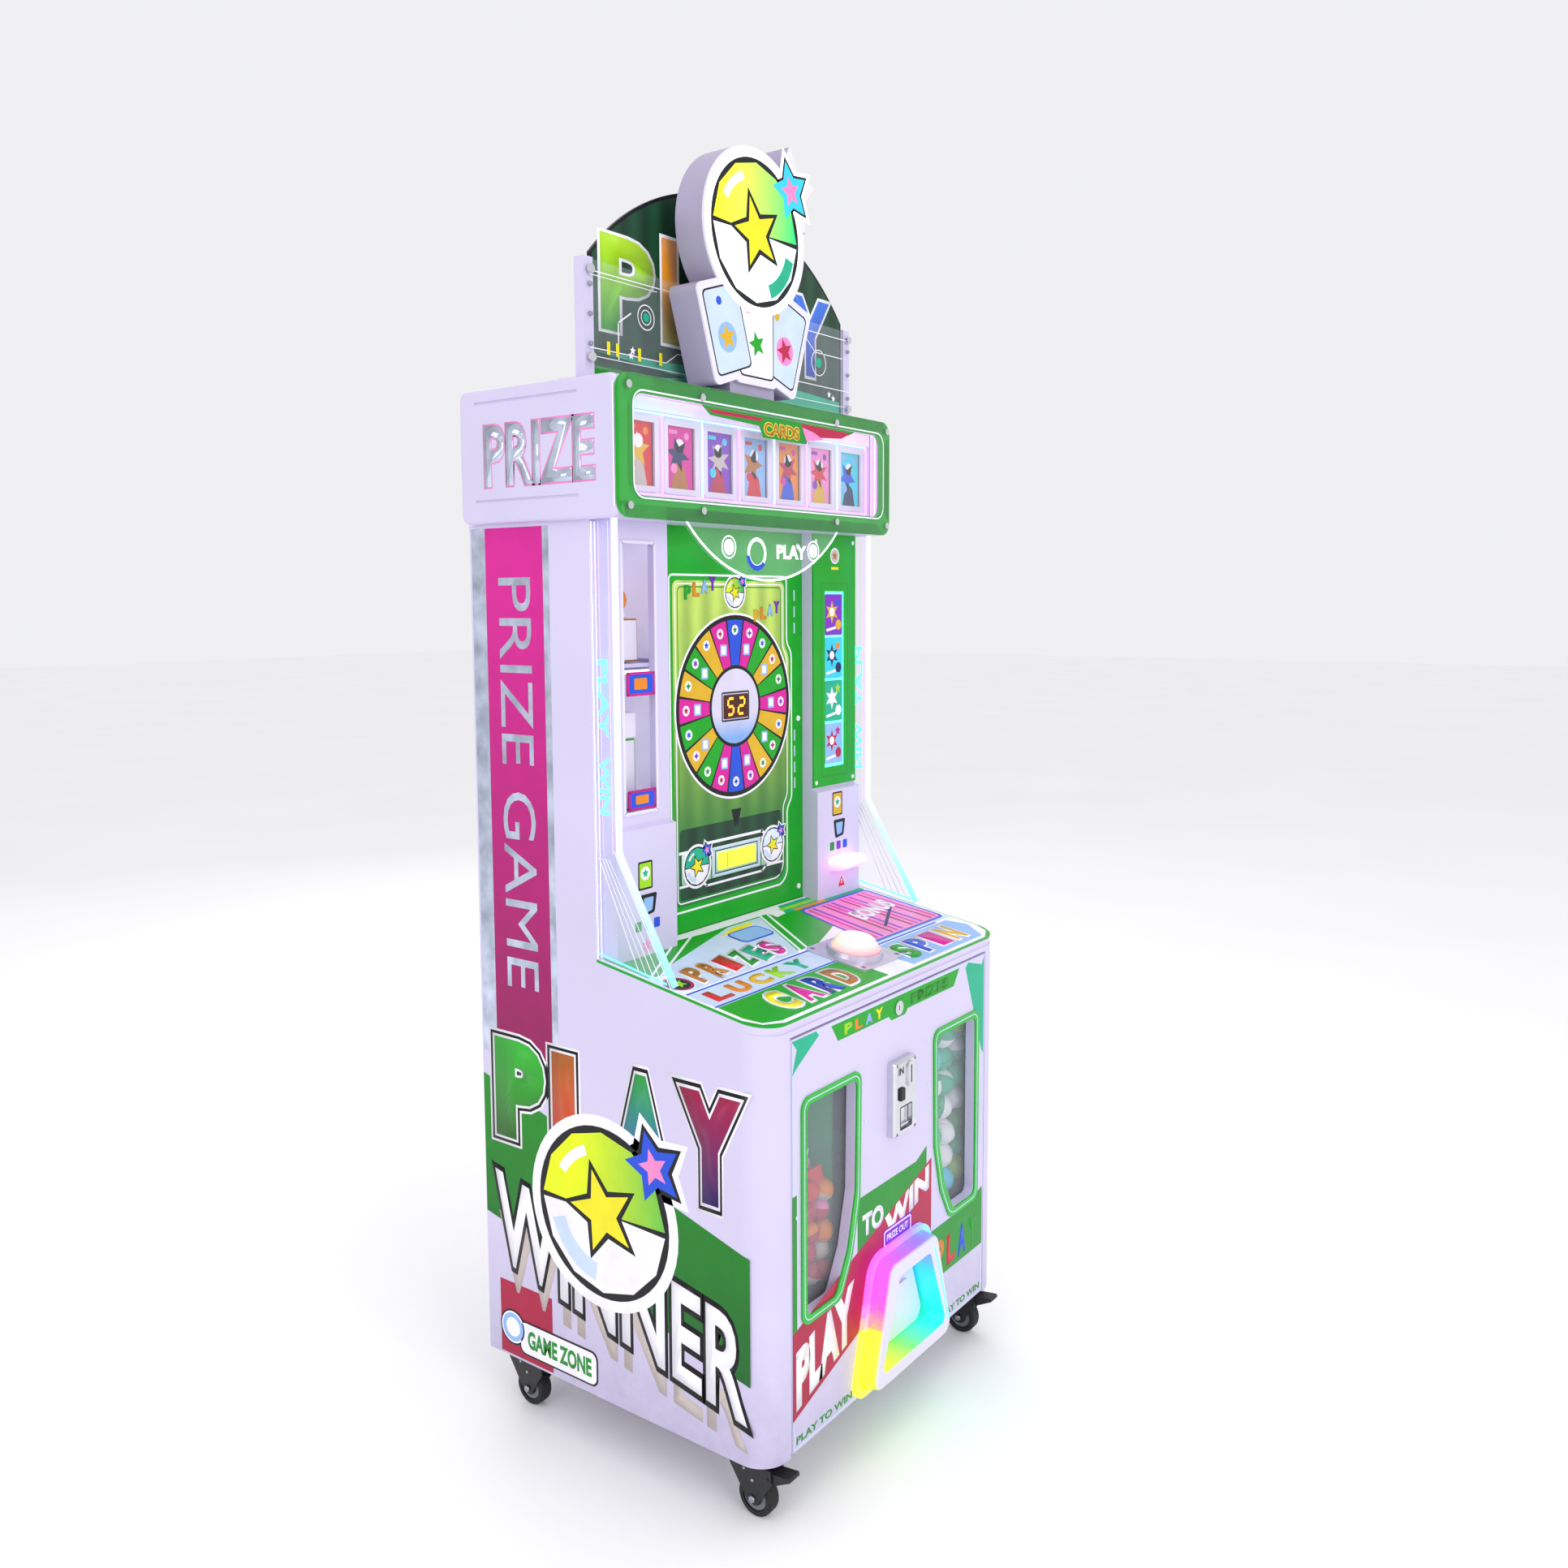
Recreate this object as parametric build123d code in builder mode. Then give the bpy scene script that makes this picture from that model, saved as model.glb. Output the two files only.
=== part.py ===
from build123d import *
import math
import os

os.makedirs("parts", exist_ok=True)

# A push-button wheel game that pays out capsules and cards.
# +Z is up, the front faces -Y, and the player's left is -X.
# The origin is at the bottom centre of the machine's box. Millimetres.

# ---------------------------------------------------------------- driving dimensions

# Cabinet
width = 720            # outside of the two side panels
depth = 608            # front face of the door to the back face
floor_gap = 98         # underside of the cabinet above the ground
side_wall = 15         # side panel thickness
corner_radius = 50     # rounded front corners
post_width = 56        # side face to the edge of the door opening
board_t = 18           # floor board and front door thickness
back_t = 12            # back panel and rear door thickness
bezel_out = 36         # how far the prize bezel stands out of the door

# Control deck
deck_front_z = 774     # deck surface at the front edge
deck_rise = 53         # height gained up to the columns
deck_run = 335         # front face to the front edge of the upper columns
deck_t = 12            # deck panel
sheet_t = 3            # printed acrylic sheet on the deck
lip_t = 15             # front lip of the deck panel
shelf_run = 135        # level shelf behind the deck

# Header box
header_z = 1514        # underside of the header
header_h = 213
header_front = 251     # front face of the header behind the door's face
header_over = 17       # how far the header overhangs each side
header_wall = 12
acrylic_t = 4
frame_t = 6

# Doors
door_gap = 2           # gap at the sides of the front door
door_bottom_gap = 4
door_top_gap = 4
board_setback = 5      # floor board behind the front door, clear of its hinge edge
front_door_h = 644
pin_r = 4              # front door pivot pins
rear_pin_r = 3
pin_clearance = 0.05   # radial clearance of every running fit
pin_engage = 20        # how far a pivot pin goes into a door
pin_seat = 12          # how far a front door pin is fixed in the deck lip
hinge_bracket_w = 16
hinge_bracket_t = 3
hinge_setback = 2      # bracket and pins behind the door's face
rear_door_w = 500
rear_door_h = 550
rear_door_z = 190
rear_door_gap = 2

# Windows in the front door
window_w = 164
window_h = 358
window_bottom = 292
window_edge = 26       # edge of the door opening to the trim
trim_w = 13
trim_out = 3
pane_t = 3

# Prize outlet
bezel_base_w = 266
bezel_top_w = 156
bezel_h = 204
bezel_bottom = 114
bezel_rim = 24
bezel_corner = 26
bezel_taper = 8        # degrees
bezel_edge = 6
liner_t = 5            # wall that lines the opening in the door
liner_past = 2         # liner beyond the door's back
flap_t = 4
flap_gap = 2.5
flap_pin_r = 2.5
flap_setback = 6       # flap face behind the door's face

# Coin entry
coin_w = 70
coin_h = 127
coin_out = 16
coin_z = 573           # centre of the coin plate
coin_slot_w = 3.2
coin_slot_h = 30

# Button
button_y = 104         # centre of the button, measured along the deck from the front
button_x = 25
plate_side = 124
ring_r = 50
dome_r = 43
dome_h = 26
stem_r = 12
button_travel = 4

# Upper part of the cabinet
column_w = 142         # inside width of each column, beside the centre board
column_front = 315
box_front = 303        # front of the lower white boxes
box_top = 1033
column_depth = 150
centre_board_y = 338
centre_board_t = 6
hub_r = 63
hub_z = 1205

# Side wings
wing_t = 8
wing_reach = 42        # upper part, in front of the column
wing_foot = 156        # lower part along the deck, in front of the column
wing_knee_z = 1000
tube_r = 5

# Topper
post_side = 20
post_h = 180
post_setback = 86      # front of the header to the front of the posts
arch_edge_z = 190      # arch edge above the header's top
arch_top_z = 343
arch_t = 6
arch_gap = 6           # face of the posts to the face of the arch
topper_sheet_h = 160
lightbox_t = 58
lightbox_x = -45

# Castors
wheel_r = 31.5
wheel_w = 24
axle_r = 4
castor_trail = 24
castor_inset_x = 40
castor_front_y = 74
castor_rear_y = 42     # from the back face
plate_t = 4
race_r = 20
race_h = 6
kingpin_r = 5
castor_gap = 0.4
fork_t = 3

# Capsule feed
hopper_w = 210
hopper_d = 220
hopper_z = 262
hopper_h = 390
hopper_wall = 3
hopper_gap = 14        # side panel to the hopper, clear of the rounded corner
disc_r = 92
disc_t = 22
disc_hole_r = 28
motor_shaft_r = 6

# ---------------------------------------------------------------- derived places

front = bezel_out - (depth + bezel_out) / 2
back = front + depth
half = width / 2
inner = half - side_wall
column = front + deck_run
slope = math.degrees(math.atan2(deck_rise, deck_run))
deck_back_z = deck_front_z + deck_rise
floor_top = floor_gap + board_t
opening = half - post_width
door_bottom = floor_gap + door_bottom_gap
door_top = door_bottom + front_door_h
lip_bottom = door_top + door_top_gap
header_top = header_z + header_h
header_half = half + header_over
header_y = front + header_front
shell_y = header_y + acrylic_t + frame_t
door_back = front + board_t
board_front = door_back + board_setback
door_pivot_x = -opening + door_gap + board_t / 2
door_pivot_y = front + board_t / 2
rear_pivot_x = rear_door_w / 2 - back_t / 2
rear_pivot_y = back - back_t / 2
board_half = inner - column_w
shelf_top = deck_back_z
slope_cos = math.cos(math.radians(slope))
slope_sin = math.sin(math.radians(slope))
deck_plane = Plane(origin=(0, front, deck_front_z), x_dir=(1, 0, 0), z_dir=(0, -slope_sin, slope_cos))
deck_length = deck_run / slope_cos
castor_stems = {
    "fl": (-half + castor_inset_x, front + castor_front_y),
    "fr": (half - castor_inset_x, front + castor_front_y),
    "rl": (-half + castor_inset_x, back - castor_rear_y),
    "rr": (half - castor_inset_x, back - castor_rear_y),
}


def deck_height(y):
    """Height of the deck surface at a distance y behind the front face."""
    return deck_front_z + deck_rise * y / deck_run


def save(part, name):
    """Label a finished piece and write it to its own file."""
    part.label = name
    export_step(part, f"parts/{name}.step")


# ---------------------------------------------------------------- side panels

drop = (sheet_t + deck_t) / slope_cos
for name, side in (("side_panel_left", -1), ("side_panel_right", 1)):
    with BuildPart() as side_panel:
        with BuildSketch(Plane.XY.offset(floor_gap)):
            with BuildLine():
                FilletPolyline(
                    (side * opening, front),
                    (side * half, front),
                    (side * half, back),
                    radius=corner_radius,
                )
                Line((side * half, back), (side * inner, back))
                FilletPolyline(
                    (side * inner, back),
                    (side * inner, front + side_wall),
                    (side * opening, front + side_wall),
                    radius=corner_radius - side_wall,
                )
                Line((side * opening, front + side_wall), (side * opening, front))
            make_face()
        extrude(amount=header_z - floor_gap)
        with BuildSketch(Plane.YZ):
            Polygon(
                (front - 1, floor_gap - 1),
                (front - 1, deck_height(-1) - drop),
                (column, deck_back_z - drop),
                (column, header_z),
                (back, header_z),
                (back, floor_gap - 1),
                align=None,
            )
        extrude(amount=width, both=True, mode=Mode.INTERSECT)
    save(side_panel.part, name)

# ---------------------------------------------------------------- floor and back

with BuildPart() as base_board:
    with BuildSketch(Plane.XY.offset(floor_gap)) as board_outline:
        with Locations((0, (board_front + back - back_t) / 2)):
            Rectangle(2 * inner, back - back_t - board_front)
        chamfer(board_outline.vertices().group_by(Axis.Y)[0], corner_radius - side_wall)
    extrude(amount=board_t)
save(base_board.part, "base_board")

inlet_w = 48
inlet_h = 30
inlet_x = -inner + 50
inlet_z = floor_top + 40
with BuildPart() as back_panel:
    with BuildSketch(Plane.XZ.offset(-back)):
        with Locations((0, (floor_gap + header_z) / 2)):
            Rectangle(2 * inner, header_z - floor_gap)
        with Locations((0, rear_door_z + rear_door_h / 2)):
            Rectangle(rear_door_w + 2 * rear_door_gap, rear_door_h + 2 * rear_door_gap, mode=Mode.SUBTRACT)
        with Locations((inlet_x, inlet_z)):
            Rectangle(inlet_w, inlet_h, mode=Mode.SUBTRACT)
        with Locations((0, header_z - 130)):
            with GridLocations(0, 16, 1, 7):
                SlotOverall(180, 7, mode=Mode.SUBTRACT)
    extrude(amount=back_t)
    for z in (rear_door_z - rear_door_gap, rear_door_z + rear_door_h + rear_door_gap):
        with Locations((rear_pivot_x, rear_pivot_y, z)):
            Cylinder(rear_pin_r, 2 * pin_engage, mode=Mode.SUBTRACT)
save(back_panel.part, "back_panel")

# ---------------------------------------------------------------- control deck

barrel_r = 30
bolt_r = 3
with BuildPart() as control_deck:
    with BuildSketch(deck_plane.offset(-sheet_t)) as deck_outline:
        with Locations((0, deck_length / 2)):
            Rectangle(width, deck_length)
        fillet(deck_outline.vertices().group_by(Axis.Y)[0], corner_radius)
    extrude(amount=-deck_t)
    split(bisect_by=Plane.XZ.offset(-column), keep=Keep.TOP)
    with BuildSketch(Plane.YZ.offset(-opening)):
        Polygon(
            (front, lip_bottom),
            (front, deck_height(0) - drop),
            (front + lip_t, deck_height(lip_t) - drop),
            (front + lip_t, lip_bottom),
            align=None,
        )
    extrude(amount=2 * opening)
    with Locations((0, column + shelf_run / 2, shelf_top - deck_t / 2 - sheet_t)):
        Box(2 * inner, shelf_run, deck_t)
    with BuildSketch(deck_plane):
        with Locations((button_x, button_y)):
            Circle(barrel_r)
    extrude(amount=-3 * deck_t, mode=Mode.SUBTRACT)
    with Locations((door_pivot_x, door_pivot_y, lip_bottom)):
        Cylinder(pin_r, 2 * pin_seat, mode=Mode.SUBTRACT)
save(control_deck.part, "control_deck")

with BuildPart() as deck_sheet:
    with BuildSketch(deck_plane) as sheet_outline:
        with Locations((0, deck_length / 2)):
            Rectangle(width, deck_length)
        fillet(sheet_outline.vertices().group_by(Axis.Y)[0], corner_radius)
        with Locations((button_x, button_y)):
            Circle(barrel_r, mode=Mode.SUBTRACT)
    extrude(amount=-sheet_t)
    split(bisect_by=Plane.XZ.offset(-column), keep=Keep.TOP)
save(deck_sheet.part, "deck_sheet")

# ---------------------------------------------------------------- front door


def window_outline(side, grow):
    """Window outline on the door: the lower inner corner is cut away beside the prize bezel."""
    outer = opening - window_edge + grow
    near = outer - window_w - 2 * grow
    low = window_bottom - grow
    high = window_bottom + window_h + grow
    points = [
        (side * outer, low),
        (side * (near + 60), low),
        (side * (near + 26), low + 62),
        (side * (near + 4), low + 150),
        (side * near, high),
        (side * outer, high),
    ]
    with BuildSketch() as outline:
        with BuildLine():
            FilletPolyline(*points, radius=20 + grow / 2, close=True)
        make_face()
    return outline.sketch


def bezel_outline(grow):
    """Rounded trapezoid of the prize outlet."""
    low = bezel_bottom - grow
    high = bezel_bottom + bezel_h + grow
    base = bezel_base_w / 2 + grow
    top = bezel_top_w / 2 + grow
    with BuildSketch() as outline:
        with BuildLine():
            FilletPolyline(
                (-base, low),
                (base, low),
                (top, high),
                (-top, high),
                radius=bezel_corner + grow / 2,
                close=True,
            )
        make_face()
    return outline.sketch


coin_wall = 8          # coin plate's edge to the spigot in the door
lock_r = 9
lock_z = door_top - 26
lock_rim = 3           # flange round the lock barrel
lock_gap = 0.3         # flange clear of the door's face
lock_flange_t = 2.5
cam_t = 2.5
cam_w = 16
cam_reach = 46
cam_gap = 1            # cam behind the door
key_w = 2
key_h = 9
key_depth = 5
with BuildPart() as front_door:
    with BuildSketch(Plane.XZ.offset(-front)):
        with Locations((0, (door_bottom + door_top) / 2)):
            Rectangle(2 * (opening - door_gap), front_door_h)
    extrude(amount=-board_t)
    hinge_edge = front_door.edges().filter_by(Axis.Z).group_by(Axis.Y)[0].sort_by(Axis.X)[0]
    fillet(hinge_edge, 6)
    for side in (-1, 1):
        with BuildSketch(Plane.XZ.offset(-front)):
            add(window_outline(side, -trim_w))
        extrude(amount=-board_t, mode=Mode.SUBTRACT)
    with BuildSketch(Plane.XZ.offset(-front)):
        add(bezel_outline(-bezel_rim))
        with Locations((0, coin_z)):
            Rectangle(coin_w - 2 * coin_wall, coin_h - 2 * coin_wall)
        with Locations((0, lock_z)):
            Circle(lock_r + pin_clearance)
    extrude(amount=-board_t, mode=Mode.SUBTRACT)
    for z in (door_bottom, door_top):
        with Locations((door_pivot_x, door_pivot_y, z)):
            Cylinder(pin_r + pin_clearance, 2 * pin_engage + 2, mode=Mode.SUBTRACT)
save(front_door.part, "front_door")

with BuildPart() as window_trims:
    for side in (-1, 1):
        with BuildSketch(Plane.XZ.offset(-front + trim_out)):
            add(window_outline(side, 0))
            add(window_outline(side, -trim_w), mode=Mode.SUBTRACT)
        extrude(amount=-trim_out)
save(window_trims.part, "window_trims")

with BuildPart() as window_panes:
    for side in (-1, 1):
        with BuildSketch(Plane.XZ.offset(-door_back)):
            add(window_outline(side, -2))
        extrude(amount=-pane_t)
save(window_panes.part, "window_panes")

upper_pin = 28
lower_pin = 22
bracket_run = board_front - front - hinge_setback
with BuildPart() as hinge_pins:
    with Locations((door_pivot_x, door_pivot_y, lip_bottom - door_top_gap)):
        Cylinder(pin_r, upper_pin)
    with Locations((door_pivot_x, door_pivot_y, door_bottom + door_bottom_gap)):
        Cylinder(pin_r, lower_pin)
    with Locations((door_pivot_x, board_front - bracket_run / 2, floor_gap + hinge_bracket_t / 2)):
        Box(hinge_bracket_w, bracket_run, hinge_bracket_t)
    for z in (rear_door_z - rear_door_gap, rear_door_z + rear_door_h + rear_door_gap):
        with Locations((rear_pivot_x, rear_pivot_y, z)):
            Cylinder(rear_pin_r, 2 * pin_engage)
save(hinge_pins.part, "hinge_pins")

with BuildPart() as door_lock:
    with BuildSketch(Plane.XZ.offset(-front + lock_gap)):
        with Locations((0, lock_z)):
            Circle(lock_r + lock_rim)
    extrude(amount=lock_flange_t)
    with BuildSketch(Plane.XZ.offset(-front + lock_gap)):
        with Locations((0, lock_z)):
            Circle(lock_r)
    extrude(amount=-board_t - cam_gap - cam_t - lock_gap)
    with BuildSketch(Plane.XZ.offset(-door_back - cam_gap)):
        with Locations((cam_reach / 2 - lock_r, lock_z)):
            SlotOverall(cam_reach, cam_w)
    extrude(amount=-cam_t)
    with BuildSketch(Plane.XZ.offset(-front + lock_gap + lock_flange_t)):
        with Locations((0, lock_z)):
            Rectangle(key_w, key_h)
    extrude(amount=-key_depth, mode=Mode.SUBTRACT)
save(door_lock.part, "door_lock")

# ---------------------------------------------------------------- coin entry

return_w = 34
return_h = 36
return_z = coin_z - 34
reject_w = 14
reject_h = 22
reject_z = coin_z + 8
reject_x = -15
entry_x = 12
entry_z = coin_z + 36
entry_out = 3          # raised bead round the coin slot
entry_w = 20
entry_rim = 7
coin_edge = 4          # chamfer round the plate
spigot_in = coin_wall + 4
cup_pin_r = 1.5
cup_pin_drop = 3       # top of the return opening to the flap's pin
cup_pin_z = return_z + return_h / 2 - cup_pin_drop
cup_y = front - coin_out / 2
coin_front = front - coin_out
with BuildPart() as coin_plate:
    with BuildSketch(Plane.XZ.offset(-front)):
        with Locations((0, coin_z)):
            RectangleRounded(coin_w, coin_h, 5)
    extrude(amount=coin_out)
    chamfer(coin_plate.faces().sort_by(Axis.Y)[0].edges(), coin_edge)
    with BuildSketch(Plane.XZ.offset(-coin_front)):
        with Locations((entry_x, entry_z)):
            SlotOverall(coin_slot_h + 2 * entry_rim, entry_w, rotation=90)
    extrude(amount=entry_out)
    with BuildSketch(Plane.XZ.offset(-front)):
        with Locations((entry_x, entry_z)):
            Rectangle(coin_slot_w, coin_slot_h)
        with Locations((0, return_z)):
            Rectangle(return_w, return_h)
        with Locations((reject_x, reject_z)):
            Rectangle(reject_w, reject_h)
    extrude(amount=coin_out + entry_out, mode=Mode.SUBTRACT)
    with BuildSketch(Plane.XZ.offset(-front)):
        with Locations((0, coin_z)):
            Rectangle(coin_w - 2 * coin_wall, coin_h - 2 * coin_wall)
        with Locations((0, coin_z)):
            Rectangle(coin_w - 2 * spigot_in, coin_h - 2 * spigot_in, mode=Mode.SUBTRACT)
    extrude(amount=-board_t)
    with Locations((0, cup_y, cup_pin_z)):
        Cylinder(cup_pin_r + pin_clearance, return_w + 10, rotation=(0, 90, 0), mode=Mode.SUBTRACT)
save(coin_plate.part, "coin_plate")

cup_flap_t = 2
cup_knuckle_r = 2.6
cup_lip_out = 5
with BuildPart() as return_flap:
    with Locations((0, cup_y, return_z - 2)):
        Box(return_w - 2, cup_flap_t, return_h - 6)
    with Locations((0, cup_y, cup_pin_z)):
        Cylinder(cup_pin_r, return_w + 8, rotation=(0, 90, 0))
        Cylinder(cup_knuckle_r, return_w - 2, rotation=(0, 90, 0))
    with Locations((0, cup_y - cup_lip_out / 2, return_z - return_h / 2 + 4)):
        Box(return_w - 10, cup_lip_out, 3)
save(return_flap.part, "return_flap")

reject_out = 4
reject_gap = 0.4
reject_back = 2        # stem clear of the plate's back
with BuildPart() as reject_button:
    with BuildSketch(Plane.XZ.offset(-coin_front + reject_out)):
        with Locations((reject_x, reject_z)):
            RectangleRounded(reject_w - 2 * reject_gap, reject_h - 2 * reject_gap, 2)
    extrude(amount=-coin_out - reject_out + reject_back)
    fillet(reject_button.faces().sort_by(Axis.Y)[0].edges(), 1)
save(reject_button.part, "reject_button")

validator_d = 88
validator_gap = 1      # mounting pad between the door and the case
validator_rim = 10     # case beyond the coin plate all round
validator_y = door_back + validator_gap + validator_d / 2
spout_w = 40
spout_d = 30
spout_h = 52
spout_wall = 3
spout_z = coin_z - coin_h / 2 - 30
spout_low = spout_z - spout_h / 2
with BuildPart() as coin_validator:
    with Locations((0, validator_y, coin_z + 4)):
        Box(coin_w + 2 * validator_rim, validator_d, coin_h + 2 * validator_rim)
    with Locations((0, validator_y, spout_z)):
        Box(spout_w, spout_d, spout_h)
    with Locations((0, validator_y, spout_z)):
        Box(spout_w - 2 * spout_wall, spout_d - 2 * spout_wall, spout_h + 2, mode=Mode.SUBTRACT)
    with Locations((entry_x, validator_y, coin_z + coin_h / 2 + 12)):
        Box(20, 60, 12)
    with Locations((0, door_back + validator_gap / 2, coin_z)):
        Box(coin_w + 6, validator_gap, coin_h - 20)
save(coin_validator.part, "coin_validator")

# ---------------------------------------------------------------- prize outlet

flap_axis_drop = 9
flap_axis_z = bezel_bottom + bezel_h - bezel_rim - liner_t - flap_axis_drop
flap_y = front + flap_setback + flap_t / 2


def flap_half_width(z):
    """Half width of the prize opening at a height z, inside the bezel's rim."""
    low_half = bezel_base_w / 2 - bezel_rim
    high_half = bezel_top_w / 2 - bezel_rim
    share = (z - bezel_bottom - bezel_rim) / (bezel_h - 2 * bezel_rim)
    return low_half + (high_half - low_half) * share


with BuildPart() as prize_bezel:
    with BuildSketch(Plane.XZ.offset(-front)):
        add(bezel_outline(0))
    extrude(amount=bezel_out, taper=bezel_taper)
    fillet(prize_bezel.faces().sort_by(Axis.Y)[0].edges(), bezel_edge)
    with BuildSketch(Plane.XZ.offset(-front)):
        add(bezel_outline(-bezel_rim))
    extrude(amount=-board_t - liner_past)
    with BuildSketch(Plane.XZ.offset(-front + bezel_out)):
        add(bezel_outline(-bezel_rim - liner_t))
    extrude(amount=-bezel_out - board_t - liner_past, mode=Mode.SUBTRACT)
    with Locations((0, flap_y, flap_axis_z)):
        Cylinder(
            flap_pin_r + pin_clearance,
            2 * flap_half_width(flap_axis_z) - 2,
            rotation=(0, 90, 0),
            mode=Mode.SUBTRACT,
        )
save(prize_bezel.part, "prize_bezel")

flap_low = bezel_bottom + bezel_rim + liner_t + flap_gap
flap_high = flap_axis_z + 4
flap_margin = liner_t + 1 + 2 * flap_gap
handle_w = 64
handle_out = 6
handle_t = 4
handle_drop = 42
with BuildPart() as prize_flap:
    with BuildSketch(Plane.XZ.offset(-flap_y + flap_t / 2)) as flap_sketch:
        Polygon(
            (-flap_half_width(flap_low) + flap_margin, flap_low),
            (flap_half_width(flap_low) - flap_margin, flap_low),
            (flap_half_width(flap_high) - flap_margin, flap_high),
            (-flap_half_width(flap_high) + flap_margin, flap_high),
            align=None,
        )
        fillet(flap_sketch.vertices().group_by(Axis.Y)[0], bezel_corner - 6)
        fillet(flap_sketch.vertices().group_by(Axis.Y)[-1], 8)
    extrude(amount=-flap_t)
    with Locations((0, flap_y, flap_axis_z)):
        Cylinder(flap_pin_r + 2, 2 * (flap_half_width(flap_axis_z) - flap_margin) - 8, rotation=(0, 90, 0))
        Cylinder(flap_pin_r, 2 * flap_half_width(flap_axis_z) - 4.4, rotation=(0, 90, 0))
    with Locations((0, flap_y - flap_t / 2 - handle_out / 2, flap_axis_z - handle_drop)):
        Box(handle_w, handle_out, handle_t)
save(prize_flap.part, "prize_flap")

chute_w = 2 * flap_half_width(flap_low)
chute_d = 176
chute_h = bezel_h - 4
chute_t = 2
chute_y = door_back + 6
ramp_front = 10        # ramp height at the front of the chute
ramp_back = 70
chute_mouth_d = 72
chute_mouth_h = 64
with BuildPart() as prize_chute:
    with Locations((0, chute_y + chute_d / 2, floor_top + chute_h / 2)):
        Box(chute_w, chute_d, chute_h)
        Box(chute_w - 2 * chute_t, chute_d - 2 * chute_t, chute_h, mode=Mode.SUBTRACT)
    with Locations((0, chute_y + chute_t / 2, floor_top + chute_h / 2)):
        Box(chute_w - 2 * chute_t, chute_t + 1, chute_h, mode=Mode.SUBTRACT)
    with BuildSketch(Plane.YZ.offset(-chute_w / 2)):
        Polygon(
            (chute_y, floor_top),
            (chute_y, floor_top + ramp_front),
            (chute_y + chute_d, floor_top + ramp_back),
            (chute_y + chute_d, floor_top),
            align=None,
        )
    extrude(amount=chute_w)
    with BuildSketch(Plane.YZ.offset(-chute_w / 2)):
        Polygon(
            (chute_y + 2 * chute_t, floor_top + chute_t),
            (chute_y + 2 * chute_t, floor_top + ramp_front - chute_t),
            (chute_y + chute_d - chute_t, floor_top + ramp_back - 2 * chute_t),
            (chute_y + chute_d - chute_t, floor_top + chute_t),
            align=None,
        )
    extrude(amount=chute_w, mode=Mode.SUBTRACT)
    with Locations((0, chute_y + chute_d * 0.62, floor_top + chute_h - chute_mouth_h / 2)):
        Box(chute_w, chute_mouth_d, chute_mouth_h, mode=Mode.SUBTRACT)
save(prize_chute.part, "prize_chute")

# ---------------------------------------------------------------- capsule feed

hopper_x = inner - hopper_gap - hopper_w / 2
hopper_y = door_back + 10 + hopper_d / 2
drop_x = hopper_x - hopper_w / 2 + 46
with BuildPart() as capsule_hoppers:
    for side in (-1, 1):
        with Locations((side * hopper_x, hopper_y, hopper_z + hopper_h / 2)):
            Box(hopper_w, hopper_d, hopper_h)
        with Locations((side * hopper_x, hopper_y, hopper_z + hopper_h / 2 + hopper_wall)):
            Box(hopper_w - 2 * hopper_wall, hopper_d - 2 * hopper_wall, hopper_h, mode=Mode.SUBTRACT)
        with Locations((side * hopper_x, hopper_y, hopper_z)):
            Cylinder(motor_shaft_r + 2, 4 * hopper_wall, mode=Mode.SUBTRACT)
        with Locations((side * drop_x, hopper_y, hopper_z)):
            Cylinder(disc_hole_r, 4 * hopper_wall, mode=Mode.SUBTRACT)
save(capsule_hoppers.part, "capsule_hoppers")

disc_z = hopper_z + hopper_wall + 2
for name, side in (("feed_disc_left", -1), ("feed_disc_right", 1)):
    with BuildPart() as feed_disc:
        with BuildSketch(Plane.XY.offset(disc_z)):
            with Locations((side * hopper_x, hopper_y)):
                Circle(disc_r)
                with PolarLocations(hopper_x - drop_x, 5, start_angle=90 + side * 90):
                    Circle(disc_hole_r, mode=Mode.SUBTRACT)
                Circle(motor_shaft_r + pin_clearance, mode=Mode.SUBTRACT)
        extrude(amount=disc_t)
    save(feed_disc.part, name)

motor_side = 70
gearbox_h = 48
motor_r = 22
motor_h = 60
motor_offset = 10      # gearbox centre beyond the disc's centre
motor_gap = 1          # gearbox under the hopper's floor
stand_side = 56
shaft_past = 4         # shaft above the disc
shaft_h = disc_z + disc_t + shaft_past - hopper_z
gearbox_low = hopper_z - motor_gap - gearbox_h
motor_low = gearbox_low - motor_h
with BuildPart() as feed_motors:
    for side in (-1, 1):
        with Locations((side * (hopper_x + motor_offset), hopper_y, gearbox_low + gearbox_h / 2)):
            Box(motor_side, motor_side, gearbox_h)
        with Locations((side * (hopper_x + motor_offset), hopper_y, gearbox_low - motor_h / 2)):
            Cylinder(motor_r, motor_h)
        with Locations((side * hopper_x, hopper_y, hopper_z - motor_gap + shaft_h / 2)):
            Cylinder(motor_shaft_r, shaft_h)
        with Locations((side * (hopper_x + motor_offset), hopper_y, (floor_top + motor_low) / 2)):
            Box(stand_side, stand_side, motor_low - floor_top)
save(feed_motors.part, "feed_motors")

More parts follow.
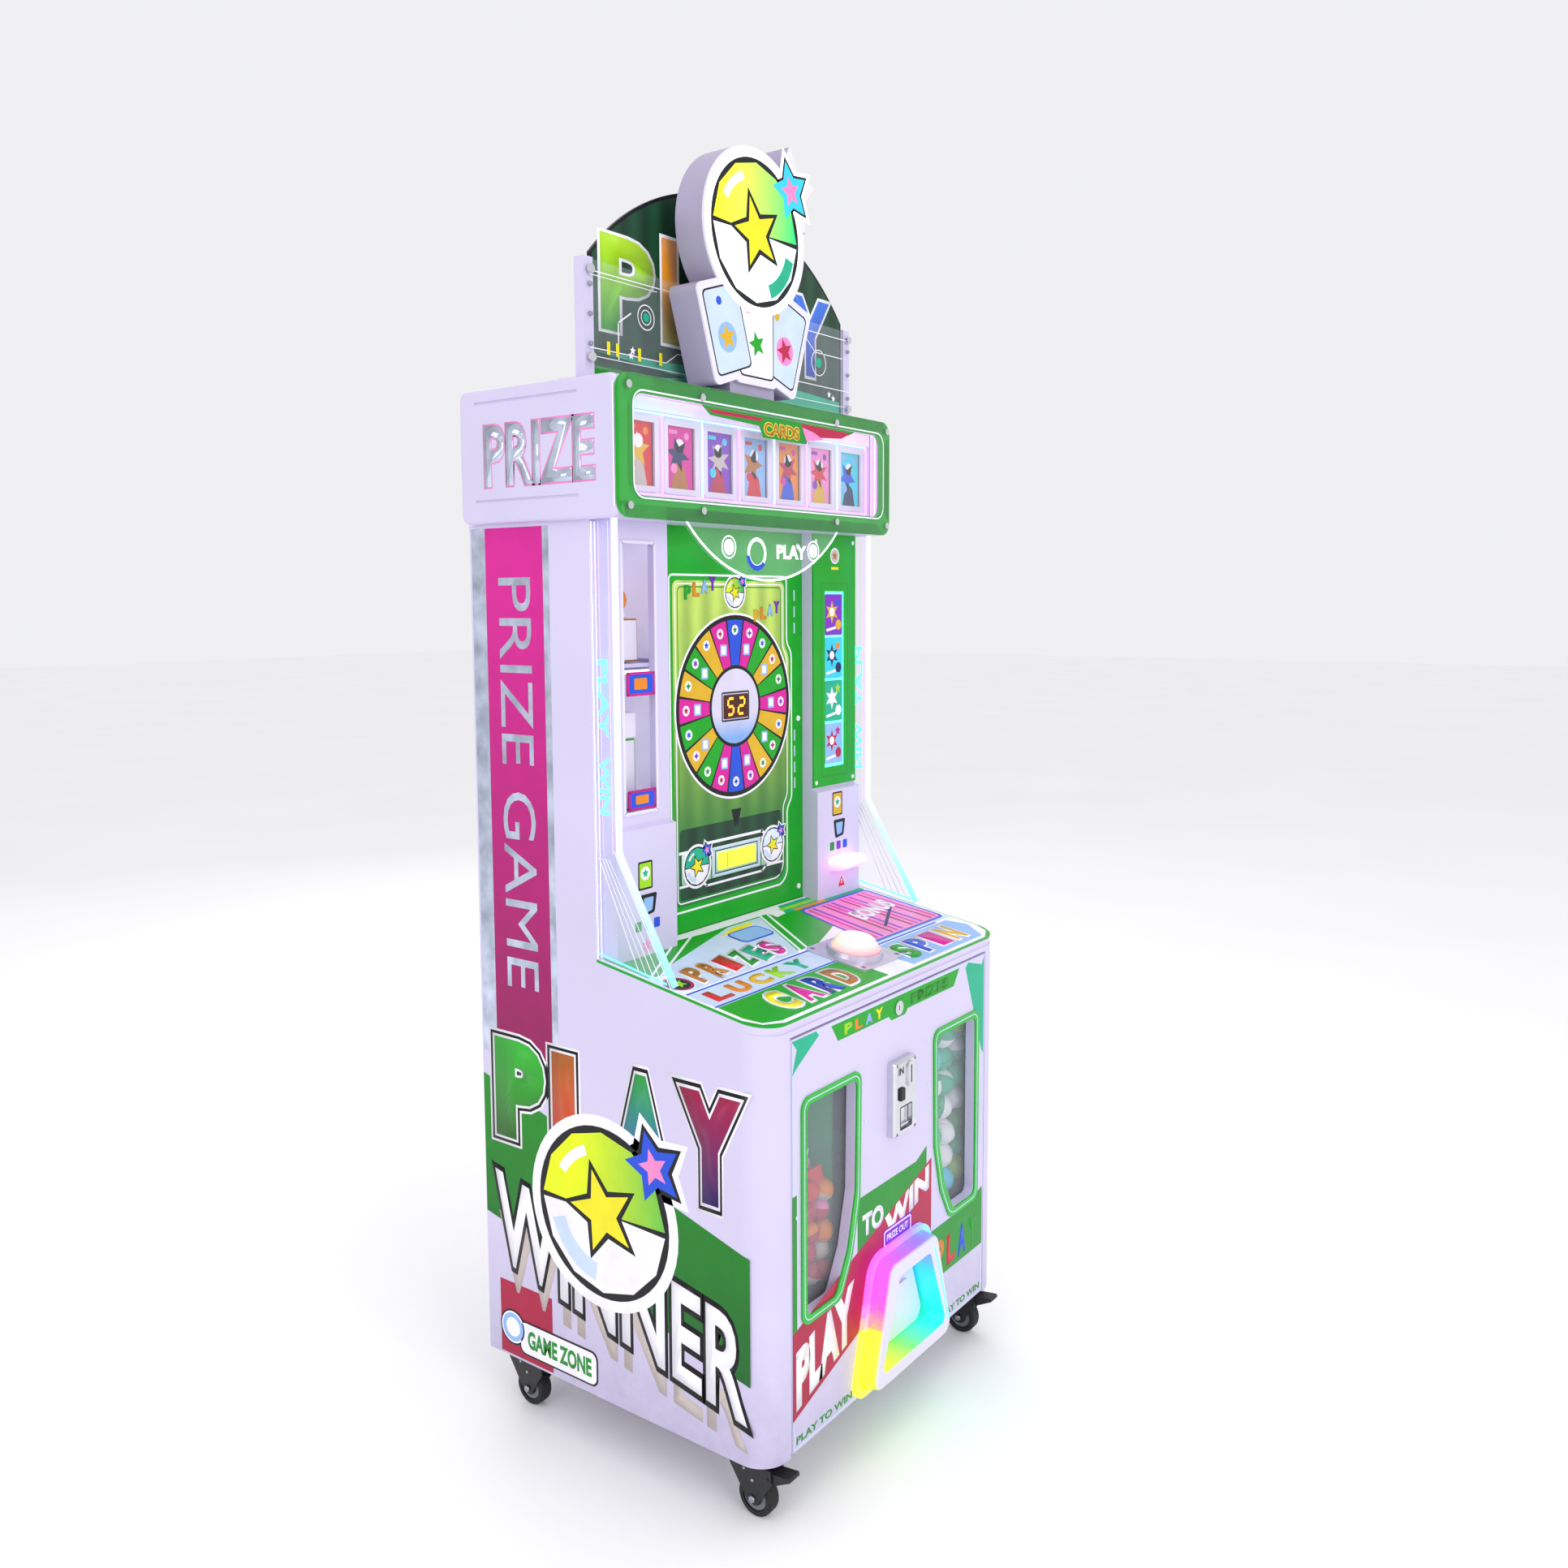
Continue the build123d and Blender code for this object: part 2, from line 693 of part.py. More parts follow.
box_w = 130
box_d = 120
box_wall = 1.5
box_z = floor_top + chute_h
box_room = 27.5        # lid to the spout above it
box_h = spout_low - box_room - box_z
lid_slot_w = 60
lid_slot_d = 44
box_handle_w = 50
with BuildPart() as cash_box:
    with Locations((0, chute_y + box_d / 2, box_z + box_h / 2)):
        Box(box_w, box_d, box_h)
        Box(box_w - 2 * box_wall, box_d - 2 * box_wall, box_h - 2 * box_wall, mode=Mode.SUBTRACT)
    with Locations((0, chute_y + box_d / 2, box_z + box_h)):
        Box(lid_slot_w, lid_slot_d, 8, mode=Mode.SUBTRACT)
    with Locations((0, chute_y - 2, box_z + box_h / 2)):
        Box(box_handle_w, 4, 6)
save(cash_box.part, "cash_box")

# ---------------------------------------------------------------- electrics

psu_w = 160
psu_d = 98
psu_h = 44
psu_x = -inner + 120
psu_y = back - back_t - 90
with BuildPart() as power_supply:
    with Locations((psu_x, psu_y, floor_top + psu_h / 2)):
        Box(psu_w, psu_d, psu_h)
    with Locations((psu_x - psu_w / 2 + 6, psu_y, floor_top + psu_h - 4)):
        Box(12, psu_d - 16, 14, mode=Mode.SUBTRACT)
    with Locations((psu_x + 10, psu_y, floor_top + psu_h)):
        with GridLocations(9, 9, 13, 8):
            Cylinder(2.5, 3, mode=Mode.SUBTRACT)
save(power_supply.part, "power_supply")

pcb_w = 180
pcb_h = 140
pcb_x = inner - 12
pcb_y = back - back_t - 120
pcb_z = floor_top + 90 + pcb_h / 2
with BuildPart() as control_board:
    with Locations((pcb_x, pcb_y, pcb_z)):
        Box(2, pcb_w, pcb_h)
    with Locations(Plane((pcb_x + 1, pcb_y, pcb_z), x_dir=(0, 1, 0), z_dir=(1, 0, 0))):
        with GridLocations(pcb_w - 12, pcb_h - 12, 2, 2):
            Cylinder(4, 11, align=(Align.CENTER, Align.CENTER, Align.MIN))
    with Locations((pcb_x - 4, pcb_y - 30, pcb_z + 10)):
        Box(6, 34, 34)
    with Locations((pcb_x - 8, pcb_y + 50, pcb_z - 20)):
        Box(14, 30, 60)
    for row in (-1, 1):
        with Locations((pcb_x - 7, pcb_y - 10, pcb_z + row * (pcb_h / 2 - 8))):
            Box(12, 110, 9)
save(control_board.part, "control_board")

with BuildPart() as mains_inlet:
    with Locations((inlet_x, back - 14, inlet_z)):
        Box(inlet_w, 28, inlet_h)
    with Locations((inlet_x + 9, back - 8, inlet_z)):
        Box(24, 16.2, 20, mode=Mode.SUBTRACT)
    for pin in (-6, 0, 6):
        with Locations((inlet_x + 9 + pin, back - 11, inlet_z)):
            Box(1.6, 14, 5)
    with Locations((inlet_x - 14, back - 2, inlet_z)):
        Box(12, 6, 20, mode=Mode.SUBTRACT)
    with Locations((inlet_x - 14, back - 4, inlet_z)):
        Box(11, 6, 18)
save(mains_inlet.part, "mains_inlet")

# ---------------------------------------------------------------- rear door

rear_lock_z = rear_door_z + rear_door_h / 2
rear_lock_x = -rear_door_w / 2 + 24
with BuildPart() as rear_door:
    with BuildSketch(Plane.XZ.offset(-back)):
        with Locations((0, rear_door_z + rear_door_h / 2)):
            Rectangle(rear_door_w, rear_door_h)
        for z in (rear_door_z + 90, rear_door_z + rear_door_h - 90):
            with Locations((0, z)):
                with GridLocations(0, 15, 1, 7):
                    SlotOverall(220, 7, mode=Mode.SUBTRACT)
        with Locations((rear_lock_x, rear_lock_z)):
            Circle(lock_r + pin_clearance, mode=Mode.SUBTRACT)
    extrude(amount=back_t)
    fillet(rear_door.edges().filter_by(Axis.Z).group_by(Axis.X)[-1], back_t / 2 - 0.5)
    for z in (rear_door_z, rear_door_z + rear_door_h):
        with Locations((rear_pivot_x, rear_pivot_y, z)):
            Cylinder(rear_pin_r + pin_clearance, 2 * pin_engage, mode=Mode.SUBTRACT)
save(rear_door.part, "rear_door")

with BuildPart() as rear_lock:
    with BuildSketch(Plane.XZ.offset(-back)):
        with Locations((rear_lock_x, rear_lock_z)):
            Circle(lock_r)
    extrude(amount=back_t + 1 + cam_t)
    with BuildSketch(Plane.XZ.offset(-back + back_t + 1)):
        with Locations((rear_lock_x, rear_lock_z + 14)):
            SlotOverall(50, 16, rotation=90)
    extrude(amount=cam_t)
    with BuildSketch(Plane.XZ.offset(-back)):
        with Locations((rear_lock_x, rear_lock_z)):
            Rectangle(2, 9)
    extrude(amount=4, mode=Mode.SUBTRACT)
save(rear_lock.part, "rear_lock")

# ---------------------------------------------------------------- castors

fork_top = floor_gap - plate_t - race_h - castor_gap
crown_t = 5
tread_edge = 5
dish_r = 17.5          # middle of the groove in each side of a wheel
dish_w = 9
dish_depth = 3
arm_gap = wheel_w / 2 + 1.5
axle_y = -castor_trail
mount_side = 60
mount_pitch = 44
mount_hole_r = 3.2
pedal_pin_r = 3
pedal_pivot = (axle_y - 28, wheel_r + 40.5)
with BuildPart() as castor_plates:
    for x, y in castor_stems.values():
        with Locations((x, y, floor_gap - plate_t / 2)):
            Box(mount_side, mount_side, plate_t)
            with GridLocations(mount_pitch, mount_pitch, 2, 2):
                Cylinder(mount_hole_r, plate_t, mode=Mode.SUBTRACT)
        with Locations((x, y, floor_gap - plate_t - race_h / 2)):
            Cylinder(race_r, race_h)
        with Locations((x, y, floor_gap - plate_t - race_h / 2)):
            Cylinder(kingpin_r + pin_clearance, race_h + 2 * plate_t, mode=Mode.SUBTRACT)
save(castor_plates.part, "castor_plates")

for corner, (x, y) in castor_stems.items():
    with BuildPart() as castor_fork:
        with Locations((x, y, fork_top - crown_t / 2)):
            Cylinder(race_r + 2, crown_t)
        with Locations((x, y, fork_top)):
            Cylinder(kingpin_r, race_h + plate_t, align=(Align.CENTER, Align.CENTER, Align.MIN))
        for side in (-1, 1):
            with BuildSketch(Plane.YZ.offset(x + side * arm_gap)):
                with Locations((y, 0)):
                    Polygon(
                        (20, fork_top),
                        (20, fork_top - 12),
                        (axle_y + 9, wheel_r - 7),
                        (axle_y - 9, wheel_r - 7),
                        (pedal_pivot[0] - 7, pedal_pivot[1] - 7),
                        (pedal_pivot[0] - 7, fork_top),
                        align=None,
                    )
            extrude(amount=side * fork_t)
        with Locations((x, y - 18, fork_top - crown_t / 2)):
            Box(2 * (arm_gap + fork_t), 40, crown_t)
        with Locations((x, y + axle_y, wheel_r)):
            Cylinder(axle_r, 2 * (arm_gap + fork_t) + 4, rotation=(0, 90, 0))
        if corner in ("fl", "fr"):
            with Locations((x, y + pedal_pivot[0], pedal_pivot[1])):
                Cylinder(pedal_pin_r, 2 * (arm_gap + fork_t) + 2, rotation=(0, 90, 0))
    save(castor_fork.part, f"castor_fork_{corner}")

    with BuildPart() as castor_wheel:
        with BuildSketch(Plane.XY) as wheel_section:
            with Locations(((axle_r + pin_clearance + wheel_r) / 2, 0)):
                Rectangle(wheel_r - axle_r - pin_clearance, wheel_w)
            fillet(wheel_section.vertices().group_by(Axis.X)[-1], tread_edge)
            for end in (-1, 1):
                with Locations((dish_r, end * wheel_w / 2)):
                    Rectangle(dish_w, 2 * dish_depth, mode=Mode.SUBTRACT)
        revolve(axis=Axis.Y)
    wheel = castor_wheel.part.rotate(Axis.Z, 90)
    save(wheel.moved(Location((x, y + axle_y, wheel_r))), f"castor_wheel_{corner}")

pedal_w = 2 * (arm_gap - 0.6)
for name, corner in (("brake_pedal_left", "fl"), ("brake_pedal_right", "fr")):
    x, y = castor_stems[corner]
    with BuildPart() as brake_pedal:
        with BuildSketch(Plane.YZ.offset(x - pedal_w / 2)):
            with Locations((y, 0)):
                Polygon(
                    (pedal_pivot[0] + 8, pedal_pivot[1] + 8),
                    (pedal_pivot[0] - 6, pedal_pivot[1] + 10),
                    (pedal_pivot[0] - 38, pedal_pivot[1] + 14),
                    (pedal_pivot[0] - 40, pedal_pivot[1] + 9),
                    (pedal_pivot[0] - 14, pedal_pivot[1] - 5),
                    (pedal_pivot[0] + 6, pedal_pivot[1] - 6),
                    align=None,
                )
        extrude(amount=pedal_w)
        with Locations((x, y + pedal_pivot[0], pedal_pivot[1])):
            Cylinder(pedal_pin_r + pin_clearance, pedal_w, rotation=(0, 90, 0), mode=Mode.SUBTRACT)
    save(brake_pedal.part, name)

# ---------------------------------------------------------------- header

header_corner = 25
header_edge = 16       # rounding along the header's top and bottom
header_rear_edge = 8
groove_w = 4
groove_run = 230
recess_d = 32
shell_d = back - shell_y
speaker_x = 150
speaker_y = header_y + 72
speaker_ring = 12
speaker_hole_r = 4
with BuildPart() as header_shell:
    with Locations((0, shell_y + shell_d / 2, header_z + header_h / 2)):
        Box(2 * header_half, shell_d, header_h)
    fillet(header_shell.edges().filter_by(Axis.X), header_edge)
    fillet(header_shell.edges().filter_by(Axis.Z).group_by(Axis.Y)[-1], header_rear_edge)
    with Locations((0, shell_y + (shell_d - header_wall) / 2, header_z + header_h / 2)):
        Box(
            2 * (header_half - header_wall),
            shell_d - header_wall,
            header_h - 2 * header_wall,
            mode=Mode.SUBTRACT,
        )
    for side in (-1, 1):
        for z in (header_z + 36, header_top - 22):
            with Locations((side * header_half, shell_y + shell_d / 2 + 20, z)):
                Box(groove_w, groove_run, groove_w, mode=Mode.SUBTRACT)
        with Locations((side * speaker_x, speaker_y, header_z + header_wall / 2)):
            with PolarLocations(speaker_ring, 6):
                Cylinder(speaker_hole_r, header_wall, mode=Mode.SUBTRACT)
            Cylinder(speaker_hole_r, header_wall, mode=Mode.SUBTRACT)
save(header_shell.part, "header_shell")

frame_side = 33
frame_low = 34
frame_high = 27
bolt_inset = 18
with BuildPart() as header_frame:
    with BuildSketch(Plane.XZ.offset(-header_y - acrylic_t)):
        with Locations((0, header_z + header_h / 2)):
            RectangleRounded(2 * header_half, header_h, header_corner)
        with Locations((0, header_z + (frame_low + header_h - frame_high) / 2)):
            RectangleRounded(
                2 * (header_half - frame_side), header_h - frame_low - frame_high, 22, mode=Mode.SUBTRACT
            )
    extrude(amount=-frame_t)
save(header_frame.part, "header_frame")

card_count = 7
card_w = 72
card_h = 104
card_pitch = (2 * header_half - 2 * frame_side - card_w - 30) / (card_count - 1)
card_z = header_z + header_h / 2 - 4
rack_y = shell_y + recess_d
with BuildPart() as card_rack:
    with Locations((0, rack_y + 2, header_z + header_h / 2)):
        Box(2 * (header_half - header_wall), 4, header_h - 2 * header_wall)
    with BuildSketch(Plane.XZ.offset(-rack_y)):
        with Locations((0, card_z)):
            with GridLocations(card_pitch, 0, card_count, 1):
                RectangleRounded(card_w + 12, card_h + 12, 6)
                Rectangle(card_w - 6, card_h - 6, mode=Mode.SUBTRACT)
    extrude(amount=5)
    with BuildSketch(Plane.XZ.offset(-rack_y)):
        with Locations((0, card_z)):
            with GridLocations(card_pitch, 0, card_count, 1):
                Rectangle(card_w, card_h)
    extrude(amount=2, mode=Mode.SUBTRACT)
save(card_rack.part, "card_rack")

rim_r = 24
rim_t = 8
basket_r = 12
basket_h = 14
magnet_r = 14
magnet_t = 10
with BuildPart() as speakers:
    for side in (-1, 1):
        with Locations((side * speaker_x, speaker_y, header_z + header_wall + rim_t / 2)):
            Cylinder(rim_r, rim_t)
        with Locations((side * speaker_x, speaker_y, header_z + header_wall + rim_t + basket_h / 2)):
            Cone(rim_r - 2, basket_r, basket_h)
        with Locations((side * speaker_x, speaker_y, header_z + header_wall + rim_t + basket_h + 4)):
            Cylinder(magnet_r, magnet_t)
save(speakers.part, "speakers")

sign_half = 215
sign_drop = 92
sign_y = header_y + 14
sign_t = 6

# ---------------------------------------------------------------- centre board and columns

display_w = 72
display_h = 46
score_z = 935
score_w = 110
score_h = 34
display_rim = 15       # case beyond the window all round
display_case_d = 20
board_y = front + centre_board_y
with BuildPart() as centre_board:
    with BuildSketch(Plane.XZ.offset(-board_y)):
        with Locations((0, (shelf_top + header_z) / 2)):
            Rectangle(2 * board_half, header_z - shelf_top)
        with Locations((0, hub_z)):
            Rectangle(display_w, display_h, mode=Mode.SUBTRACT)
        with Locations((0, score_z)):
            Rectangle(score_w, score_h, mode=Mode.SUBTRACT)
    extrude(amount=-centre_board_t)
save(centre_board.part, "centre_board")

with BuildPart() as number_displays:
    with Locations((0, board_y + centre_board_t, hub_z)):
        Box(display_w, 2 * centre_board_t, display_h)
    with Locations((0, board_y + 2 * centre_board_t + display_case_d / 2, hub_z)):
        Box(display_w + 2 * display_rim, display_case_d, display_h + 2 * display_rim)
    with Locations((0, board_y + centre_board_t, score_z)):
        Box(score_w, 2 * centre_board_t, score_h)
    with Locations((0, board_y + 2 * centre_board_t + display_case_d / 2, score_z)):
        Box(score_w + 2 * display_rim, display_case_d, score_h + 20)
save(number_displays.part, "number_displays")

column_wall = 6
niche_w = 74
cut_d = 60             # depth of the cuts through the column faces
niche_low = box_top + 22
niche_high = header_z - 34
niche_d = 110
column_y = front + column_front
lower_y = front + box_front
column_mid = inner - column_w / 2
column_back = column_y + column_depth
hollow_y = column_y + column_depth / 2 + column_wall
led_w = 74
led_h = 342
led_z = 1240
mouth_w = 84
mouth_h = 26
mouth_z = 886
mouth_x = column_mid + 8
for name, side in (("left_column", -1), ("right_column", 1)):
    with BuildPart() as column_box:
        with BuildSketch(Plane.YZ.offset(side * board_half)):
            Polygon(
                (lower_y, deck_height(box_front)),
                (column, deck_back_z),
                (column_back, shelf_top),
                (column_back, header_z),
                (column_y, header_z),
                (column_y, box_top),
                (lower_y, box_top - 4),
                align=None,
            )
        extrude(amount=side * column_w)
        with Locations((side * column_mid, hollow_y, (shelf_top + header_z) / 2)):
            Box(
                column_w - 2 * column_wall,
                column_depth - 2 * column_wall,
                header_z - shelf_top - 4 * column_wall,
                mode=Mode.SUBTRACT,
            )
        if side < 0:
            with Locations((-column_mid, column_y, (niche_low + niche_high) / 2)):
                Box(niche_w, cut_d, niche_high - niche_low, mode=Mode.SUBTRACT)
            with Locations((-column_mid, column_y + niche_d / 2 + 12, (niche_low + niche_high) / 2 + 20)):
                Box(column_w - 2 * column_wall, niche_d, column_wall)
        else:
            with Locations((column_mid, column_y, led_z)):
                Box(led_w, cut_d, led_h, mode=Mode.SUBTRACT)
            with Locations((mouth_x, lower_y, mouth_z)):
                Box(mouth_w, cut_d, mouth_h, mode=Mode.SUBTRACT)
    save(column_box.part, name)

led_rim = 4
led_frame_t = 3
with BuildPart() as light_display:
    with BuildSketch(Plane.XZ.offset(-column_y)):
        with Locations((column_mid, (box_top + 4 + header_z) / 2)):
            Rectangle(column_w, header_z - box_top - 4)
        with Locations((column_mid, led_z)):
            Rectangle(led_w - 2 * led_rim, led_h - 2 * led_rim, mode=Mode.SUBTRACT)
    extrude(amount=led_frame_t)
    with Locations((column_mid, column_y + led_rim, led_z)):
        Box(led_w, 2 * led_rim, led_h)
save(light_display.part, "light_display")

mouth_out = 34
slot_h = 6
slot_side = 8
with BuildPart() as card_mouth:
    with BuildSketch(Plane.YZ.offset(mouth_x - mouth_w / 2)) as mouth_side:
        Polygon(
            (lower_y + 6, mouth_z - mouth_h / 2),
            (lower_y + 6, mouth_z + mouth_h / 2),
            (lower_y - mouth_out + 12, mouth_z + mouth_h / 2),
            (lower_y - mouth_out, mouth_z + 2),
            (lower_y - mouth_out + 6, mouth_z - mouth_h / 2 + 4),
            align=None,
        )
    extrude(amount=mouth_w)
    fillet(card_mouth.edges().filter_by(Axis.Y).group_by(Axis.Z)[-1], 6)
    with Locations((mouth_x, lower_y - mouth_out / 2, mouth_z + slot_h / 2)):
        Box(mouth_w - 2 * slot_side, mouth_out + 24, slot_h, mode=Mode.SUBTRACT)
save(card_mouth.part, "card_mouth")

dispenser_d = 88
dispenser_h = 90
dispenser_y = column_y + 57
with BuildPart() as card_dispenser:
    with Locations((mouth_x, dispenser_y, mouth_z + 6)):
        Box(mouth_w - 4, dispenser_d, dispenser_h)
    with Locations((mouth_x, dispenser_y, mouth_z + slot_h / 2)):
        Box(mouth_w - 2 * slot_side, dispenser_d + 12, slot_h, mode=Mode.SUBTRACT)
save(card_dispenser.part, "card_dispenser")

# ---------------------------------------------------------------- side wings and light tubes

foot_y = column - wing_foot
foot_z = deck_height(deck_run - wing_foot)
with BuildPart() as side_wings:
    for side in (-1, 1):
        with BuildSketch(Plane.YZ.offset(side * (half - 2))):
            Polygon(
                (column, deck_back_z),
                (column, header_z),
                (column - wing_reach, header_z),
                (column - wing_reach, wing_knee_z),
                (foot_y, foot_z),
                align=None,
            )
        extrude(amount=-side * wing_t)
save(side_wings.part, "side_wings")

tube_top = header_z
tube_lift = 5
wing_slant = math.atan2(wing_knee_z - foot_z, wing_foot - wing_reach)
knee_y = column - wing_reach - tube_r
knee_shift = math.cos(wing_slant) - (1 - math.sin(wing_slant)) * math.tan(wing_slant)
knee_z = wing_knee_z + tube_r * knee_shift
tube_foot_y = foot_y - tube_r * math.sin(wing_slant) + tube_lift * math.cos(wing_slant)
tube_foot_z = foot_z + tube_r * math.cos(wing_slant) + tube_lift * math.sin(wing_slant)
with BuildPart() as light_tubes:
    for side in (-1, 1):
        tube_x = side * (half - 2 - wing_t / 2)
        with BuildLine(Plane.YZ.offset(tube_x)):
            FilletPolyline(
                (knee_y, tube_top),
                (knee_y, knee_z),
                (tube_foot_y, tube_foot_z),
                radius=30,
            )
        with BuildSketch(Plane.XY.offset(tube_top)):
            with Locations((tube_x, knee_y)):
                Circle(tube_r)
        sweep()
save(light_tubes.part, "light_tubes")

# ---------------------------------------------------------------- push button

button_plane = Plane(
    origin=deck_plane.from_local_coords((button_x, button_y, 0)),
    x_dir=(1, 0, 0),
    z_dir=(0, -slope_sin, slope_cos),
)
plate_h = 4
ring_h = 12
barrel_h = 44
ring_floor = 1
dome_low = ring_floor + button_travel + 0.5
with BuildPart() as button_ring:
    with BuildSketch(button_plane):
        RectangleRounded(plate_side, plate_side, 10)
    extrude(amount=plate_h)
    with BuildSketch(button_plane.offset(plate_h)):
        Circle(ring_r)
    extrude(amount=ring_h - plate_h, taper=14)
    with BuildSketch(button_plane):
        Circle(barrel_r)
    extrude(amount=-barrel_h)
    with BuildSketch(button_plane.offset(-sheet_t - deck_t - 10)):
        RegularPolygon(barrel_r + 10, 6)
        Circle(barrel_r, mode=Mode.SUBTRACT)
    extrude(amount=10)
    with BuildSketch(button_plane.offset(-barrel_h)):
        Circle(stem_r + pin_clearance)
    extrude(amount=barrel_h + ring_h, mode=Mode.SUBTRACT)
    with BuildSketch(button_plane.offset(ring_floor)):
        Circle(dome_r + 0.4)
    extrude(amount=ring_h, mode=Mode.SUBTRACT)
save(button_ring.part, "button_ring")

with BuildPart() as button_dome:
    with BuildSketch(button_plane.offset(dome_low)):
        Circle(dome_r)
    extrude(amount=ring_h + 2 - dome_low)
    with BuildSketch(button_plane.offset(ring_h + 2)):
        Circle(dome_r)
    extrude(amount=dome_h - 8, taper=38)
    top_edge = button_dome.edges().sort_by(Axis.Z)[-1]
    fillet(top_edge, 12)
    with BuildSketch(button_plane.offset(dome_low)):
        Circle(stem_r)
    extrude(amount=-barrel_h - dome_low + button_travel)
save(button_dome.part, "button_dome")

# ---------------------------------------------------------------- topper

post_y = header_y + post_setback
post_foot_d = 48
post_foot_t = 3
foot_middle = post_y + arch_gap + arch_t + post_foot_d / 2
with BuildPart() as topper_posts:
    for side in (-1, 1):
        with Locations((side * (half - post_side / 2), post_y + post_side / 2, header_top + post_h / 2)):
            Box(post_side, post_side, post_h)
        with Locations((side * (half - post_side / 2 - 8), foot_middle, header_top + post_foot_t / 2)):
            Box(post_side + 16, post_foot_d, post_foot_t)
save(topper_posts.part, "topper_posts")

arch_half = half - post_side
with BuildPart() as topper_arch:
    with BuildSketch(Plane.XZ.offset(-post_y - arch_gap)):
        with BuildLine():
            Line((-arch_half, header_top + arch_edge_z), (-arch_half, header_top))
            Line((-arch_half, header_top), (arch_half, header_top))
            Line((arch_half, header_top), (arch_half, header_top + arch_edge_z))
            ThreePointArc(
                (arch_half, header_top + arch_edge_z),
                (0, header_top + arch_top_z),
                (-arch_half, header_top + arch_edge_z),
            )
        make_face()
    extrude(amount=-arch_t)
save(topper_arch.part, "topper_arch")

sheet_y = post_y - acrylic_t
with BuildPart() as acrylic_sheets:
    with BuildSketch(Plane.XZ.offset(-header_y)):
        with Locations((0, header_z + header_h / 2)):
            RectangleRounded(2 * header_half, header_h, header_corner)
            with GridLocations(2 * (header_half - bolt_inset), header_h - 2 * bolt_inset, 2, 2):
                Circle(bolt_r, mode=Mode.SUBTRACT)
            with GridLocations(header_half, header_h - 2 * bolt_inset, 2, 2):
                Circle(bolt_r, mode=Mode.SUBTRACT)
    extrude(amount=-acrylic_t)
    with BuildSketch(Plane.XZ.offset(-sign_y)):
        with BuildLine():
            Line((-sign_half, header_z), (sign_half, header_z))
            ThreePointArc((sign_half, header_z), (0, header_z - sign_drop), (-sign_half, header_z))
        make_face()
    extrude(amount=-sign_t)
    with BuildSketch(Plane.XZ.offset(-sheet_y)):
        with Locations((0, header_top + 16 + topper_sheet_h / 2)):
            Rectangle(width, topper_sheet_h)
    extrude(amount=-acrylic_t)
save(acrylic_sheets.part, "acrylic_sheets")


capsule_r = 136
capsule_z = header_top + 264
fan_card_w = 112
fan_card_h = 160
fan_z = header_top + 98
fan_pitch = 78
fan_turn = 18          # degrees between the cards
star_tip = 74
star_root = 40
star_x = lightbox_x + 96
star_z = header_top + 352


def emblem(grow):
    """Lightbox outline: a prize capsule over a fan of cards, with a star at its shoulder."""
    points = []
    for step in range(10):
        reach = (star_tip if step % 2 == 0 else star_root) + grow
        angle = math.radians(90 + 36 * step)
        points.append((star_x + reach * math.cos(angle), star_z + reach * math.sin(angle)))
    with BuildSketch() as outline:
        with Locations((lightbox_x, capsule_z)):
            Circle(capsule_r + grow)
        for turn in (-1, 0, 1):
            with Locations(Location((lightbox_x - fan_pitch * turn, fan_z), (0, 0, fan_turn * turn))):
                RectangleRounded(fan_card_w + 2 * grow, fan_card_h + 2 * grow, 12)
        with BuildLine():
            Polyline(*points, close=True)
        make_face()
    return outline.sketch


face_t = 3
shell_wall = 4
lightbox_back_t = 3
lightbox_foot_w = 120
lightbox_foot_h = 24
strut_w = 60
strut_h = 120
strut_t = 3
strut_run = 28
with BuildPart() as lightbox_shell:
    with BuildSketch(Plane.XZ.offset(-header_y - face_t)):
        add(emblem(0))
    extrude(amount=-lightbox_t + face_t)
    with BuildSketch(Plane.XZ.offset(-header_y - face_t)):
        add(emblem(-shell_wall))
    extrude(amount=-lightbox_t + face_t + lightbox_back_t, mode=Mode.SUBTRACT)
    with BuildSketch(Plane.XY.offset(header_top)):
        with Locations((lightbox_x, header_y + lightbox_t / 2)):
            Rectangle(lightbox_foot_w, lightbox_t - 20)
    extrude(amount=lightbox_foot_h)
    with BuildSketch(Plane.XZ.offset(-header_y - lightbox_t)):
        with Locations((lightbox_x, header_top + strut_h / 2)):
            Rectangle(strut_w, strut_h)
    extrude(amount=-strut_t)
    with BuildSketch(Plane.XY.offset(header_top)):
        with Locations((lightbox_x, header_y + lightbox_t + strut_run / 2)):
            Rectangle(strut_w, strut_run)
    extrude(amount=strut_t)
save(lightbox_shell.part, "lightbox_shell")

with BuildPart() as lightbox_face:
    with BuildSketch(Plane.XZ.offset(-header_y)):
        add(emblem(0))
    extrude(amount=-face_t)
save(lightbox_face.part, "lightbox_face")

